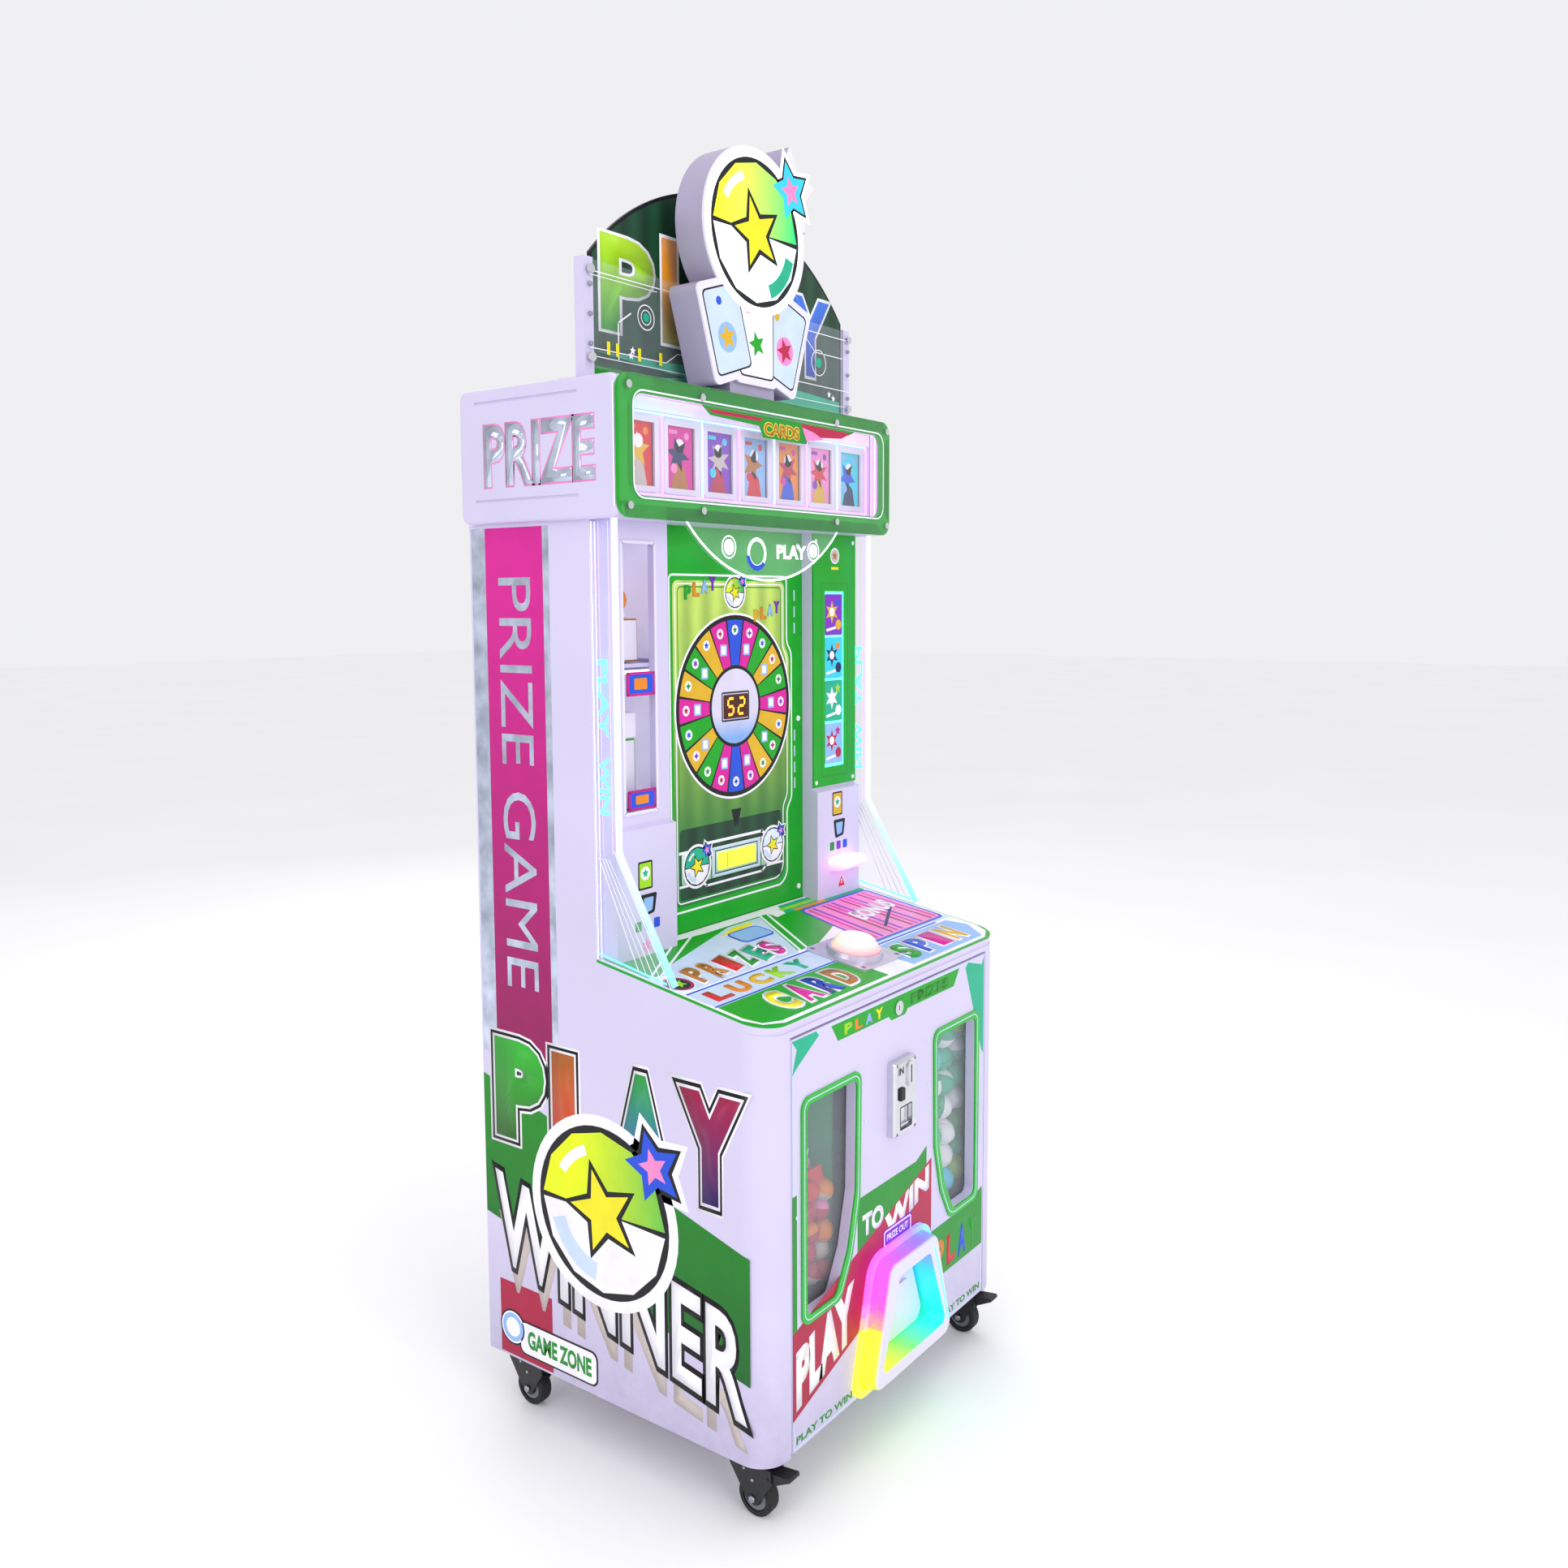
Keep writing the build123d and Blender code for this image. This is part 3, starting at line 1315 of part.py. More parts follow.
with BuildPart() as acrylic_bolts:
    bolt_plane = Plane.XZ.offset(-header_y)
    with Locations(bolt_plane * Location((0, header_z + header_h / 2, 0))):
        with GridLocations(2 * (header_half - bolt_inset), header_h - 2 * bolt_inset, 2, 2):
            Cylinder(6, 3, align=(Align.CENTER, Align.CENTER, Align.MIN))
            Cylinder(bolt_r - pin_clearance, acrylic_t, align=(Align.CENTER, Align.CENTER, Align.MAX))
        with GridLocations(header_half, header_h - 2 * bolt_inset, 2, 2):
            Cylinder(6, 3, align=(Align.CENTER, Align.CENTER, Align.MIN))
            Cylinder(bolt_r - pin_clearance, acrylic_t, align=(Align.CENTER, Align.CENTER, Align.MAX))
    with Locations(Plane.XZ.offset(-sheet_y) * Location((0, header_top + 16 + topper_sheet_h / 2, 0))):
        with GridLocations(width - post_side, topper_sheet_h - 30, 2, 2):
            Cylinder(7, 4, align=(Align.CENTER, Align.CENTER, Align.MIN))
save(acrylic_bolts.part, "acrylic_bolts")
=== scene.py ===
import math
import random

import bmesh
import bpy
from mathutils import Matrix, Vector


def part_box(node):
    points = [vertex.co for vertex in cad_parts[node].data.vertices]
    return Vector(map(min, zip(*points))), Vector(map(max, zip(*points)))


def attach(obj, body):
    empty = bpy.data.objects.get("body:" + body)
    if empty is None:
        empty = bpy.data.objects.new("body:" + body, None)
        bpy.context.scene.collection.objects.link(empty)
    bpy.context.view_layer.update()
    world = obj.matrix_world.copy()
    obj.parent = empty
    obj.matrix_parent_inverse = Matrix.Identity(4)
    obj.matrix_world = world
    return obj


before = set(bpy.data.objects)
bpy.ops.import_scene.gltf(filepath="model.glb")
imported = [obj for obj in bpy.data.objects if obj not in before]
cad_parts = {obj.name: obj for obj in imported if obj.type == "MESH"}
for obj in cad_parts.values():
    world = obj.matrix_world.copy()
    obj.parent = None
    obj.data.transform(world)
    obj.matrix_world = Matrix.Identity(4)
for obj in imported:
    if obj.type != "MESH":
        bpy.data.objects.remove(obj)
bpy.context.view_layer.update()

# A push-button wheel game with printed panels, lit acrylic and two windows full of prizes.
# Shapes are worked out in millimetres in the machine's own frame and placed in metres.


def span(node):
    """Lowest and highest corner of a CAD part, in millimetres."""
    low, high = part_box(node)
    return low * 1000, high * 1000


# ---------------------------------------------------------------- camera, floor and light

camera = bpy.data.objects.new("camera", bpy.data.cameras.new("camera"))
bpy.context.scene.collection.objects.link(camera)
bpy.context.scene.camera = camera
yaw, pitch, roll = 0.9394, -0.0944, -0.004
looking = Vector((math.sin(yaw) * math.cos(pitch), math.cos(yaw) * math.cos(pitch), math.sin(pitch)))
aimed = looking.to_track_quat("-Z", "Y").to_matrix()
camera.rotation_euler = (aimed @ Matrix.Rotation(roll, 3, "Z")).to_euler()
camera.location = (-1.8485, -1.4140, 1.3863)
camera.data.lens = 30.76
camera.data.sensor_width = 36
camera.data.shift_x = -0.0024
camera.data.shift_y = -0.0348


def linear(colour):
    """sRGB hex to the linear colour a shader takes."""
    parts = [int(colour[i : i + 2], 16) / 255 for i in (1, 3, 5)]
    return tuple(p / 12.92 if p <= 0.04045 else ((p + 0.055) / 1.055) ** 2.4 for p in parts) + (1.0,)


def add(tree, kind, inputs=None, **settings):
    """Adds a node with its settings. An input given another node's output is linked to it."""
    node = tree.nodes.new(kind)
    for name, value in settings.items():
        setattr(node, name, value)
    for name, value in (inputs or {}).items():
        if isinstance(value, bpy.types.NodeSocket):
            tree.links.new(value, node.inputs[name])
        else:
            node.inputs[name].default_value = value
    return node


def studio_light(name, place, aim, size, power):
    """A softbox of a given size in metres."""
    lamp = bpy.data.lights.new(name, "AREA")
    lamp.shape = "RECTANGLE"
    lamp.size, lamp.size_y = size
    lamp.energy = power
    holder = bpy.data.objects.new(name, lamp)
    bpy.context.scene.collection.objects.link(holder)
    holder.location = place
    holder.rotation_euler = (Vector(aim) - Vector(place)).to_track_quat("-Z", "Y").to_euler()


studio_light("front_softbox", (-1.6, -4.2, 2.6), (0, 0, 1.0), (2.4, 2.4), 62)
studio_light("side_softbox", (-4.2, 0.2, 2.4), (0, 0, 1.0), (2.4, 2.4), 26)
studio_light("top_softbox", (0.4, -0.8, 4.6), (0, 0, 1.0), (2.6, 2.6), 26)
studio_light("back_softbox", (2.4, 3.6, 3.0), (0, 0, 1.0), (2.4, 2.4), 26)
world = bpy.data.worlds.new("studio")
world.use_nodes = True
world.node_tree.nodes["Background"].inputs["Color"].default_value = linear("#FBFBFD")
world.node_tree.nodes["Background"].inputs["Strength"].default_value = 0.9
bpy.context.scene.world = world
# Plain display colours, so that printing inks stay as saturated as they are mixed.
bpy.context.scene.view_settings.view_transform = "Standard"

# ---------------------------------------------------------------- finishes


def finish(name, colour, roughness, shade=0.10, cloud=90, grain=3.0, depth=0.02, **sockets):
    """A finish whose tone drifts over `cloud` mm, with a relief of `grain` mm that is `depth` mm deep.

    `colour` is one hex value, or two with the height in mm at which each is reached."""
    material = bpy.data.materials.new(name)
    material.use_nodes = True
    tree = material.node_tree
    shader = tree.nodes["Principled BSDF"]
    place = add(tree, "ShaderNodeTexCoord").outputs["Object"]
    drift = add(tree, "ShaderNodeTexNoise", {"Vector": place, "Scale": 1000 / cloud, "Detail": 3.0})
    relief = add(tree, "ShaderNodeTexNoise", {"Vector": place, "Scale": 1000 / grain, "Detail": 1.0})
    if isinstance(colour, str):
        base = linear(colour)
    else:
        axis, low_hex, low, high_hex, high = colour
        across = add(tree, "ShaderNodeSeparateXYZ", {"Vector": place}).outputs[axis]
        share = add(
            tree, "ShaderNodeMapRange", {"Value": across, "From Min": low / 1000, "From Max": high / 1000}
        )
        base = add(
            tree,
            "ShaderNodeMixRGB",
            {"Fac": share.outputs["Result"], "Color1": linear(low_hex), "Color2": linear(high_hex)},
        ).outputs["Color"]
    tone = add(
        tree,
        "ShaderNodeMapRange",
        {
            "Value": drift.outputs["Fac"],
            "From Min": 0.3,
            "From Max": 0.7,
            "To Min": 1 - shade,
            "To Max": 1 + shade / 2,
        },
    )
    toned = add(
        tree,
        "ShaderNodeMixRGB",
        {"Fac": 1.0, "Color1": base, "Color2": tone.outputs["Result"]},
        blend_type="MULTIPLY",
    )
    gloss = add(
        tree,
        "ShaderNodeMapRange",
        {"Value": relief.outputs["Fac"], "To Min": roughness * 0.85, "To Max": min(1, roughness * 1.2)},
    )
    bump = add(
        tree, "ShaderNodeBump", {"Height": relief.outputs["Fac"], "Strength": 0.6, "Distance": depth / 1000}
    )
    tree.links.new(toned.outputs["Color"], shader.inputs["Base Color"])
    tree.links.new(gloss.outputs["Result"], shader.inputs["Roughness"])
    tree.links.new(bump.outputs["Normal"], shader.inputs["Normal"])
    for socket, value in sockets.items():
        if socket == "glow":
            tree.links.new(toned.outputs["Color"], shader.inputs["Emission Color"])
            shader.inputs["Emission Strength"].default_value = value
        else:
            shader.inputs[socket.replace("_", " ")].default_value = value
    return material


def darken_low(material, low, high, dark_tone, strength):
    """Mixes a darker tone into the lowest part of a panel, broken up by noise."""
    tree = material.node_tree
    shader = tree.nodes["Principled BSDF"]
    clean = shader.inputs["Base Color"].links[0].from_socket
    place = add(tree, "ShaderNodeTexCoord").outputs["Object"]
    height = add(tree, "ShaderNodeSeparateXYZ", {"Vector": place}).outputs["Z"]
    near_floor = add(
        tree,
        "ShaderNodeMapRange",
        {"Value": height, "From Min": low / 1000, "From Max": high / 1000, "To Min": strength, "To Max": 0.0},
    )
    breakup = add(tree, "ShaderNodeTexNoise", {"Vector": place, "Scale": 28.0, "Detail": 6.0, "Roughness": 0.7})
    amount = add(
        tree,
        "ShaderNodeMath",
        {0: near_floor.outputs["Result"], 1: breakup.outputs["Fac"]},
        operation="MULTIPLY",
    )
    mixed = add(
        tree,
        "ShaderNodeMixRGB",
        {"Fac": amount.outputs["Value"], "Color1": clean, "Color2": linear(dark_tone)},
        blend_type="MULTIPLY",
    )
    tree.links.new(mixed.outputs["Color"], shader.inputs["Base Color"])
    return material


def striped(material, axis, pitch, dark, strength):
    """Lays soft stripes of a real pitch in mm over a finish, along one axis."""
    tree = material.node_tree
    shader = tree.nodes["Principled BSDF"]
    plain = shader.inputs["Base Color"].links[0].from_socket
    place = add(tree, "ShaderNodeTexCoord").outputs["Object"]
    bands = add(
        tree,
        "ShaderNodeTexWave",
        {"Vector": place, "Scale": 1000 / pitch / 20 * math.pi, "Distortion": 0.0},
        bands_direction=axis,
    )
    amount = add(tree, "ShaderNodeMath", {0: bands.outputs["Fac"], 1: strength}, operation="MULTIPLY")
    mixed = add(
        tree,
        "ShaderNodeMixRGB",
        {"Fac": amount.outputs["Value"], "Color1": plain, "Color2": linear(dark)},
    )
    tree.links.new(mixed.outputs["Color"], shader.inputs["Base Color"])
    return material


low_tone = "#8C84A0"
# Melamine-faced board, white in itself: a hard satin sheet with a faint orange peel. Its lavender tint is
# painted light from coloured lamps, and it is darker towards the bottom.
white_laminate = darken_low(
    finish("melamine_board", "#D2CAE8", 0.34, shade=0.05, cloud=320, grain=5, depth=0.03),
    low=98,
    high=330,
    dark_tone=low_tone,
    strength=0.5,
)
# Matt melamine-faced chipboard at the back: flat, dry, a little blotchy.
raw_board = darken_low(
    finish("matt_chipboard", "#BDB8CC", 0.6, shade=0.05, cloud=60, grain=3, depth=0.06),
    low=98,
    high=420,
    dark_tone=low_tone,
    strength=0.6,
)
# Screen-printed sheet in leaf green: solid ink under a glossy film.
printed_green = finish(
    "printed_sheet_green", "#06A31C", 0.22, shade=0.10, cloud=70, grain=4, depth=0.01, Specular_IOR_Level=0.3
)
# Moulded green edging: smooth ABS with a soft shine.
green_trim = finish("moulded_green_trim", "#1FB332", 0.28, shade=0.08, cloud=60, grain=4, depth=0.02)
# Chromed zinc casting: bright, with faint ripples from polishing.
chrome = finish("chromed_zinc", "#D9DBE0", 0.12, shade=0.10, cloud=30, grain=7, depth=0.05, Metallic=1.0)
# White moulded ABS: vacuum-formed, satin, a little grey in its hollows.
white_plastic = finish("white_abs", "#E3DFF0", 0.3, shade=0.05, cloud=120, grain=4, depth=0.03)
# Black glass-filled nylon and ABS: matt with a fine spark texture.
black_plastic = finish("black_moulded_nylon", "#16161A", 0.5, shade=0.25, cloud=18, grain=2, depth=0.08)
# Zinc-plated steel: cool grey with the blotches of the plating bath.
zinc_steel = finish(
    "zinc_plated_steel", "#A9ADB5", 0.36, shade=0.22, cloud=14, grain=3, depth=0.03, Metallic=1.0
)
# Grey powder coat over folded steel: fine orange peel.
grey_steel = finish("grey_powder_coat", "#6D7078", 0.5, shade=0.12, cloud=40, grain=3, depth=0.06)
# Black stoved enamel on pressed steel, rubbed dull where it is touched.
black_steel = finish("black_enamelled_steel", "#131416", 0.38, shade=0.3, cloud=20, grain=4, depth=0.05)
# Black polyurethane tread: matt and dusty.
wheel_rubber = finish("black_polyurethane", "#1B1B1D", 0.72, shade=0.35, cloud=12, grain=2, depth=0.1)
# Glass-epoxy circuit board with green solder mask.
circuit_board = finish("green_solder_mask", "#0E5A2E", 0.32, shade=0.35, cloud=9, grain=2, depth=0.05)
# Die-cast gearbox and motor can: dull silver with a grainy skin.
motor_case = finish(
    "die_cast_aluminium", "#8C8F94", 0.45, shade=0.2, cloud=10, grain=2, depth=0.1, Metallic=0.9
)
# Feed disc of yellow cast nylon, turned smooth.
disc_plastic = finish("yellow_cast_nylon", "#E3B526", 0.42, shade=0.12, cloud=30, grain=3, depth=0.04)
# Bright plated ring of the push button.
bright_ring = finish("bright_plated_abs", "#CFC8DC", 0.2, shade=0.1, cloud=24, grain=4, Metallic=0.55)
# Lavender-grey case of the lightbox: rolled ABS sheet, satin.
lightbox_case = finish("satin_abs_sheet", "#A8A0BC", 0.36, shade=0.08, cloud=140, grain=5, depth=0.04)
# Opal push button, lit from below: cream on top, pink lower down.
dome_plastic = finish(
    "opal_polycarbonate",
    ("Z", "#F59AA8", 796, "#FFF3E4", 822),
    0.16,
    shade=0.04,
    cloud=40,
    glow=0.35,
    Coat_Weight=0.5,
)
# Opal acrylic rod with LEDs behind it: even cold white that leans to cyan low down and to violet higher up.
light_diffuser = finish(
    "lit_opal_acrylic", ("Z", "#7CF3EE", 830, "#D9D2FF", 1100), 0.4, shade=0.12, cloud=30, glow=0.9
)
# Pink-lit mouth where the card comes out.
mouth_glow = finish(
    "pink_lit_acrylic", ("Z", "#FF7BE0", 872, "#FFD0F2", 902), 0.3, shade=0.15, cloud=20, glow=1.6
)


def clear_sheet(name, tint, low, high):
    """Clear cast acrylic: nearly invisible face on, brighter at a glancing angle."""
    material = finish(name, tint, 0.06, shade=0.03, cloud=200, grain=40, depth=0.02, IOR=1.49)
    tree = material.node_tree
    shader = tree.nodes["Principled BSDF"]
    glance = add(tree, "ShaderNodeLayerWeight", {"Blend": 0.35})
    cover = add(
        tree, "ShaderNodeMapRange", {"Value": glance.outputs["Facing"], "To Min": low, "To Max": high}
    )
    tree.links.new(cover.outputs["Result"], shader.inputs["Alpha"])
    return material


clear_acrylic = clear_sheet("clear_cast_acrylic", "#E6ECF6", 0.012, 0.2)
wing_acrylic = clear_sheet("edge_lit_acrylic", "#D6E8FA", 0.05, 0.35)
hopper_acrylic = clear_sheet("clear_folded_acrylic", "#C9D2D6", 0.012, 0.14)

# Printing inks on self-adhesive vinyl: flat, saturated, under a satin film.


def ink(name, colour, glow=0.0):
    """One printing ink on vinyl, or a blend of two inks between two places."""
    extra = {"glow": glow} if glow else {"Specular_IOR_Level": 0.3}
    return finish("ink_" + name, colour, 0.3, shade=0.07, cloud=45, grain=4, depth=0.008, **extra)


white = ink("white", "#F3F1FA")
black = ink("black", "#0B0B10")
crimson = ink("crimson", ("Z", "#A3123C", 120, "#B81A48", 420))
magenta = ink("magenta", ("Z", "#8B0A50", 620, "#D31A92", 1400))
bright_magenta = ink("bright_magenta", "#D8169B")
pink = ink("pink", "#F08AC8")
red = ink("red", "#D4212E")
orange = ink("orange", "#E8871E")
gold = ink("gold", "#DDAF22")
yellow = ink("yellow", "#F1E51C")
lime = ink("lime", "#9BD81C")
green = ink("green", "#12A21C")
mid_green = ink("mid_green", "#1C8F2A")
dark_green = ink("dark_green", ("Z", "#0F5F22", 200, "#178A16", 580))
forest = striped(ink("forest", "#1B4A30"), "X", 24, "#10301F", 0.8)
teal = ink("teal", "#17B08A")
cyan = ink("cyan", "#35CFEA")
sky = ink("sky", "#8FB9EE")
blue = ink("blue", "#1F4FD6")
navy = ink("navy", "#1A1E5C")
purple = ink("purple", "#7E2BC0")
pale_blue = ink("pale_blue", "#C9DAF4")
tan = ink("tan", "#C4B8B4")
brown = ink("brown", "#B5722E")
# Mirror film: bright, slightly wavy where it was rubbed down.
mirror = finish("mirror_film", "#C9D2E6", 0.1, shade=0.35, cloud=40, grain=60, depth=0.5, Metallic=1.0)
# Back-lit prints and lamps.
lit_white = ink("lit_white", "#F4F6FF", 1.3)
lit_cyan = ink("lit_cyan", "#5CE9F5", 1.8)
lit_blue = ink("lit_blue", "#7FA8FF", 1.5)
lit_violet = ink("lit_violet", "#C79BFF", 1.5)
lit_pink = ink("lit_pink", "#FF8FE0", 1.5)
lit_yellow = ink("lit_yellow", "#E4F22A", 1.1)
lit_orange = ink("lit_orange", "#FF8A1F", 3.0)
dark_window = ink("smoked_window", "#4A1D14")

finishes = {
    "side_panel_left side_panel_right control_deck front_door header_shell left_column": white_laminate,
    "right_column topper_posts": white_laminate,
    "base_board back_panel rear_door": raw_board,
    "deck_sheet centre_board header_frame light_display": printed_green,
    "card_rack lightbox_face": white_plastic,
    "topper_arch": black,
    "window_panes acrylic_sheets": clear_acrylic,
    "side_wings": wing_acrylic,
    "capsule_hoppers": hopper_acrylic,
    "window_trims": green_trim,
    "coin_plate return_flap door_lock rear_lock acrylic_bolts": chrome,
    "prize_bezel prize_flap": white_plastic,
    "coin_validator number_displays mains_inlet speakers card_dispenser": black_plastic,
    "brake_pedal_left brake_pedal_right reject_button": black_plastic,
    "hinge_pins castor_plates prize_chute power_supply": zinc_steel,
    "cash_box": grey_steel,
    "castor_fork_fl castor_fork_fr castor_fork_rl castor_fork_rr": black_steel,
    "castor_wheel_fl castor_wheel_fr castor_wheel_rl castor_wheel_rr": wheel_rubber,
    "control_board": circuit_board,
    "feed_motors": motor_case,
    "feed_disc_left feed_disc_right": disc_plastic,
    "light_tubes": light_diffuser,
    "card_mouth": mouth_glow,
    "button_dome": dome_plastic,
    "button_ring": bright_ring,
    "lightbox_shell": lightbox_case,
}
for nodes, material in finishes.items():
    for node in nodes.split():
        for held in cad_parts[node].material_slots:
            held.material = material

# ---------------------------------------------------------------- printed artwork


def lettering(text, weight):
    """Flat letters one unit high, made heavier all round by `weight`."""
    curve = bpy.data.curves.new("lettering", "FONT")
    curve.body = text
    curve.offset = weight
    curve.resolution_u = 4
    holder = bpy.data.objects.new("lettering", curve)
    mesh = bpy.data.meshes.new_from_object(holder)
    bpy.data.objects.remove(holder)
    bpy.data.curves.remove(curve)
    return mesh


def sheet(points, corner, segments=5):
    """A flat face with rounded corners."""
    part = bmesh.new()
    bmesh.ops.contextual_create(part, geom=[part.verts.new((u, v, 0)) for u, v in points])
    if corner:
        corners = part.verts[:]
        bmesh.ops.bevel(
            part, geom=corners, offset=corner, affect="VERTICES", segments=segments, profile=0.5, material=-1
        )
    return part


def hollow(part, width):
    """Keeps only a border of the faces."""
    rim = bmesh.ops.inset_region(
        part, faces=part.faces[:], thickness=width, use_boundary=True, use_even_offset=True
    )["faces"]
    bmesh.ops.delete(part, geom=[f for f in part.faces if f not in rim], context="FACES")
    return part


class Artwork:
    """Flat shapes on one face of the machine. Each ink lies a little above the one before it.

    Places are in mm across and up the face. `mirrored` turns the layout round but not the letters."""

    def __init__(self, name, body, slot, origin, across, up, mirrored=False, lift=0.1):
        across, up = Vector(across), Vector(up)
        turned = Matrix((across, up, across.cross(up))).transposed().to_4x4()
        self.place = Matrix.Scale(0.001, 4) @ Matrix.Translation(Vector(origin)) @ turned
        self.name, self.body, self.slot = name, body, slot
        self.mirrored, self.top, self.low = mirrored, lift, 0.0
        self.mesh = bmesh.new()
        self.inks = []

    def ink(self, material, step=0.03):
        if material not in self.inks:
            self.inks.append(material)
        self.index = self.inks.index(material)
        self.top += step
        return self

    def lay(self, part, letters=False):
        """Turns flat faces into a thin solid of the present ink."""
        if self.mirrored and not letters:
            bmesh.ops.scale(part, vec=(-1, 1, 1), verts=part.verts)
        raised = bmesh.ops.extrude_face_region(part, geom=part.faces[:])
        tops = [v for v in raised["geom"] if isinstance(v, bmesh.types.BMVert)]
        bmesh.ops.translate(part, vec=(0, 0, self.top - self.low), verts=tops)
        bmesh.ops.translate(part, vec=(0, 0, self.low), verts=part.verts)
        bmesh.ops.recalc_face_normals(part, faces=part.faces)
        for face in part.faces:
            face.material_index = self.index
        bmesh.ops.transform(part, matrix=self.place, verts=part.verts)
        loose = bpy.data.meshes.new("layer")
        part.to_mesh(loose)
        self.mesh.from_mesh(loose)
        part.free()
        bpy.data.meshes.remove(loose)
        return self

    def patch(self, points, corner=0):
        return self.lay(sheet(points, corner))

    def bar(self, left, low, right, high, corner=0):
        return self.patch([(left, low), (right, low), (right, high), (left, high)], corner)

    def frame(self, left, low, right, high, width, corner=0):
        corners = [(left, low), (right, low), (right, high), (left, high)]
        return self.lay(hollow(sheet(corners, corner), width))

    def outline(self, points, width, corner=0):
        """A closed line round any straight-sided shape."""
        return self.lay(hollow(sheet(points, corner, segments=4), width))

    def disc(self, u, v, radius, sides=48):
        part = bmesh.new()
        bmesh.ops.create_circle(part, cap_ends=True, radius=radius, segments=sides)
        bmesh.ops.translate(part, vec=(u, v, 0), verts=part.verts)
        return self.lay(part)

    def ring(self, u, v, radius, width, sides=56):
        part = bmesh.new()
        bmesh.ops.create_circle(part, cap_ends=True, radius=radius, segments=sides)
        hollow(part, width)
        bmesh.ops.translate(part, vec=(u, v, 0), verts=part.verts)
        return self.lay(part)

    def star(self, u, v, radius, inner, points=5, turn=0):
        part = bmesh.new()
        made = bmesh.ops.create_circle(part, cap_ends=True, radius=radius, segments=2 * points)
        bmesh.ops.scale(part, vec=(inner / radius, inner / radius, 1), verts=made["verts"][1::2])
        spin = Matrix.Translation((u, v, 0)) @ Matrix.Rotation(math.radians(turn), 4, "Z")
        bmesh.ops.transform(part, matrix=spin, verts=part.verts)
        return self.lay(part)

    def wedge(self, u, v, inner, outer, start, end):
        """A sector of a wheel between two radii and two angles in degrees."""
        part = bmesh.new()
        edge = part.edges.new([part.verts.new((inner, 0, 0)), part.verts.new((outer, 0, 0))])
        bmesh.ops.spin(
            part, geom=[edge], cent=(0, 0, 0), axis=(0, 0, 1), angle=math.radians(end - start), steps=6
        )
        spin = Matrix.Translation((u, v, 0)) @ Matrix.Rotation(math.radians(start), 4, "Z")
        bmesh.ops.transform(part, matrix=spin, verts=part.verts)
        return self.lay(part)

    def stroke(self, points, width):
        """A line of even width through a few points."""
        for (u0, v0), (u1, v1) in zip(points, points[1:]):
            run = Vector((u1 - u0, v1 - v0))
            along = run.normalized() * width / 2
            side = Vector((-along.y, along.x))
            a, b = Vector((u0, v0)) - along, Vector((u1, v1)) + along
            self.patch([tuple(a - side), tuple(b - side), tuple(b + side), tuple(a + side)])
        return self

    def letters(self, text, left, low, right, high, weight=0.02, grow=0.0, slant=0.0, turn=0):
        """Heavy capitals fitted to a box, grown by `grow` mm for an outline, with a sloping baseline."""
        plain = lettering(text, weight)
        across = [vertex.co.x for vertex in plain.vertices]
        tall = [vertex.co.y for vertex in plain.vertices]
        bpy.data.meshes.remove(plain)
        long_way, short_way = right - left, high - low
        if turn:
            long_way, short_way = short_way, long_way
        scale_u = long_way / (max(across) - min(across))
        scale_v = short_way / (max(tall) - min(tall))
        part = bmesh.new()
        grown = lettering(text, weight + grow * 2 / (scale_u + scale_v))
        part.from_mesh(grown)
        bpy.data.meshes.remove(grown)
        bmesh.ops.remove_doubles(part, verts=part.verts, dist=1e-5)
        centre = Vector(((max(across) + min(across)) / 2, (max(tall) + min(tall)) / 2, 0))
        middle = (left + right) / 2 * (-1 if self.mirrored else 1)
        lean = -slant if self.mirrored else slant
        fit = Matrix.Translation((middle, (low + high) / 2, 0)) @ Matrix.Rotation(math.radians(turn), 4, "Z")
        fit = fit @ Matrix.Diagonal((scale_u, scale_v, 1, 1)) @ Matrix.Translation(-centre)
        bmesh.ops.transform(part, matrix=fit, verts=part.verts)
        for vertex in part.verts:
            vertex.co.y += lean * (vertex.co.x - middle)
        return self.lay(part, letters=True)

    def row(self, text, colours, left, low, wide, tall, pitch, climb=0, edge=0, step=0.03, slant=0.0):
        """Letters side by side, each in its own ink, over a white edge if one is asked for."""
        for i, letter in enumerate(text):
            a, b = left + pitch * i, low + climb * i
            box = (letter, a, b, a + wide, b + tall)
            if edge:
                self.ink(white).letters(*box, weight=0.05, grow=edge, slant=slant)
            self.ink(colours[i], step).letters(*box, weight=0.05, slant=slant)
        return self

    def done(self):
        mesh = bpy.data.meshes.new(self.name)
        self.mesh.to_mesh(mesh)
        self.mesh.free()
        for material in self.inks:
            mesh.materials.append(material)
        return put(mesh, self.name, self.body)


def put(mesh, name, body):
    """Puts a finished mesh on the machine, riding on one of its bodies."""
    piece = bpy.data.objects.new(name, mesh)
    bpy.context.scene.collection.objects.link(piece)
    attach(piece, body)
    return piece


side_low, side_high = span("side_panel_left")
door_low, door_high = span("front_door")
board_low = span("centre_board")[0]
front_y, back_y = side_low.y, side_high.y
half_width = -side_low.x
UP, BACK, AHEAD, RIGHT = (0, 0, 1), (0, 1, 0), (0, -1, 0), (1, 0, 0)


def flank(name, slot, x, side):
    """Artwork on the cabinet, on a face that looks left or right: mirrored layout, readable words."""
    along = AHEAD if side < 0 else BACK
    return Artwork(name, "cabinet", slot, (x, 0, 0), along, UP, mirrored=side > 0)


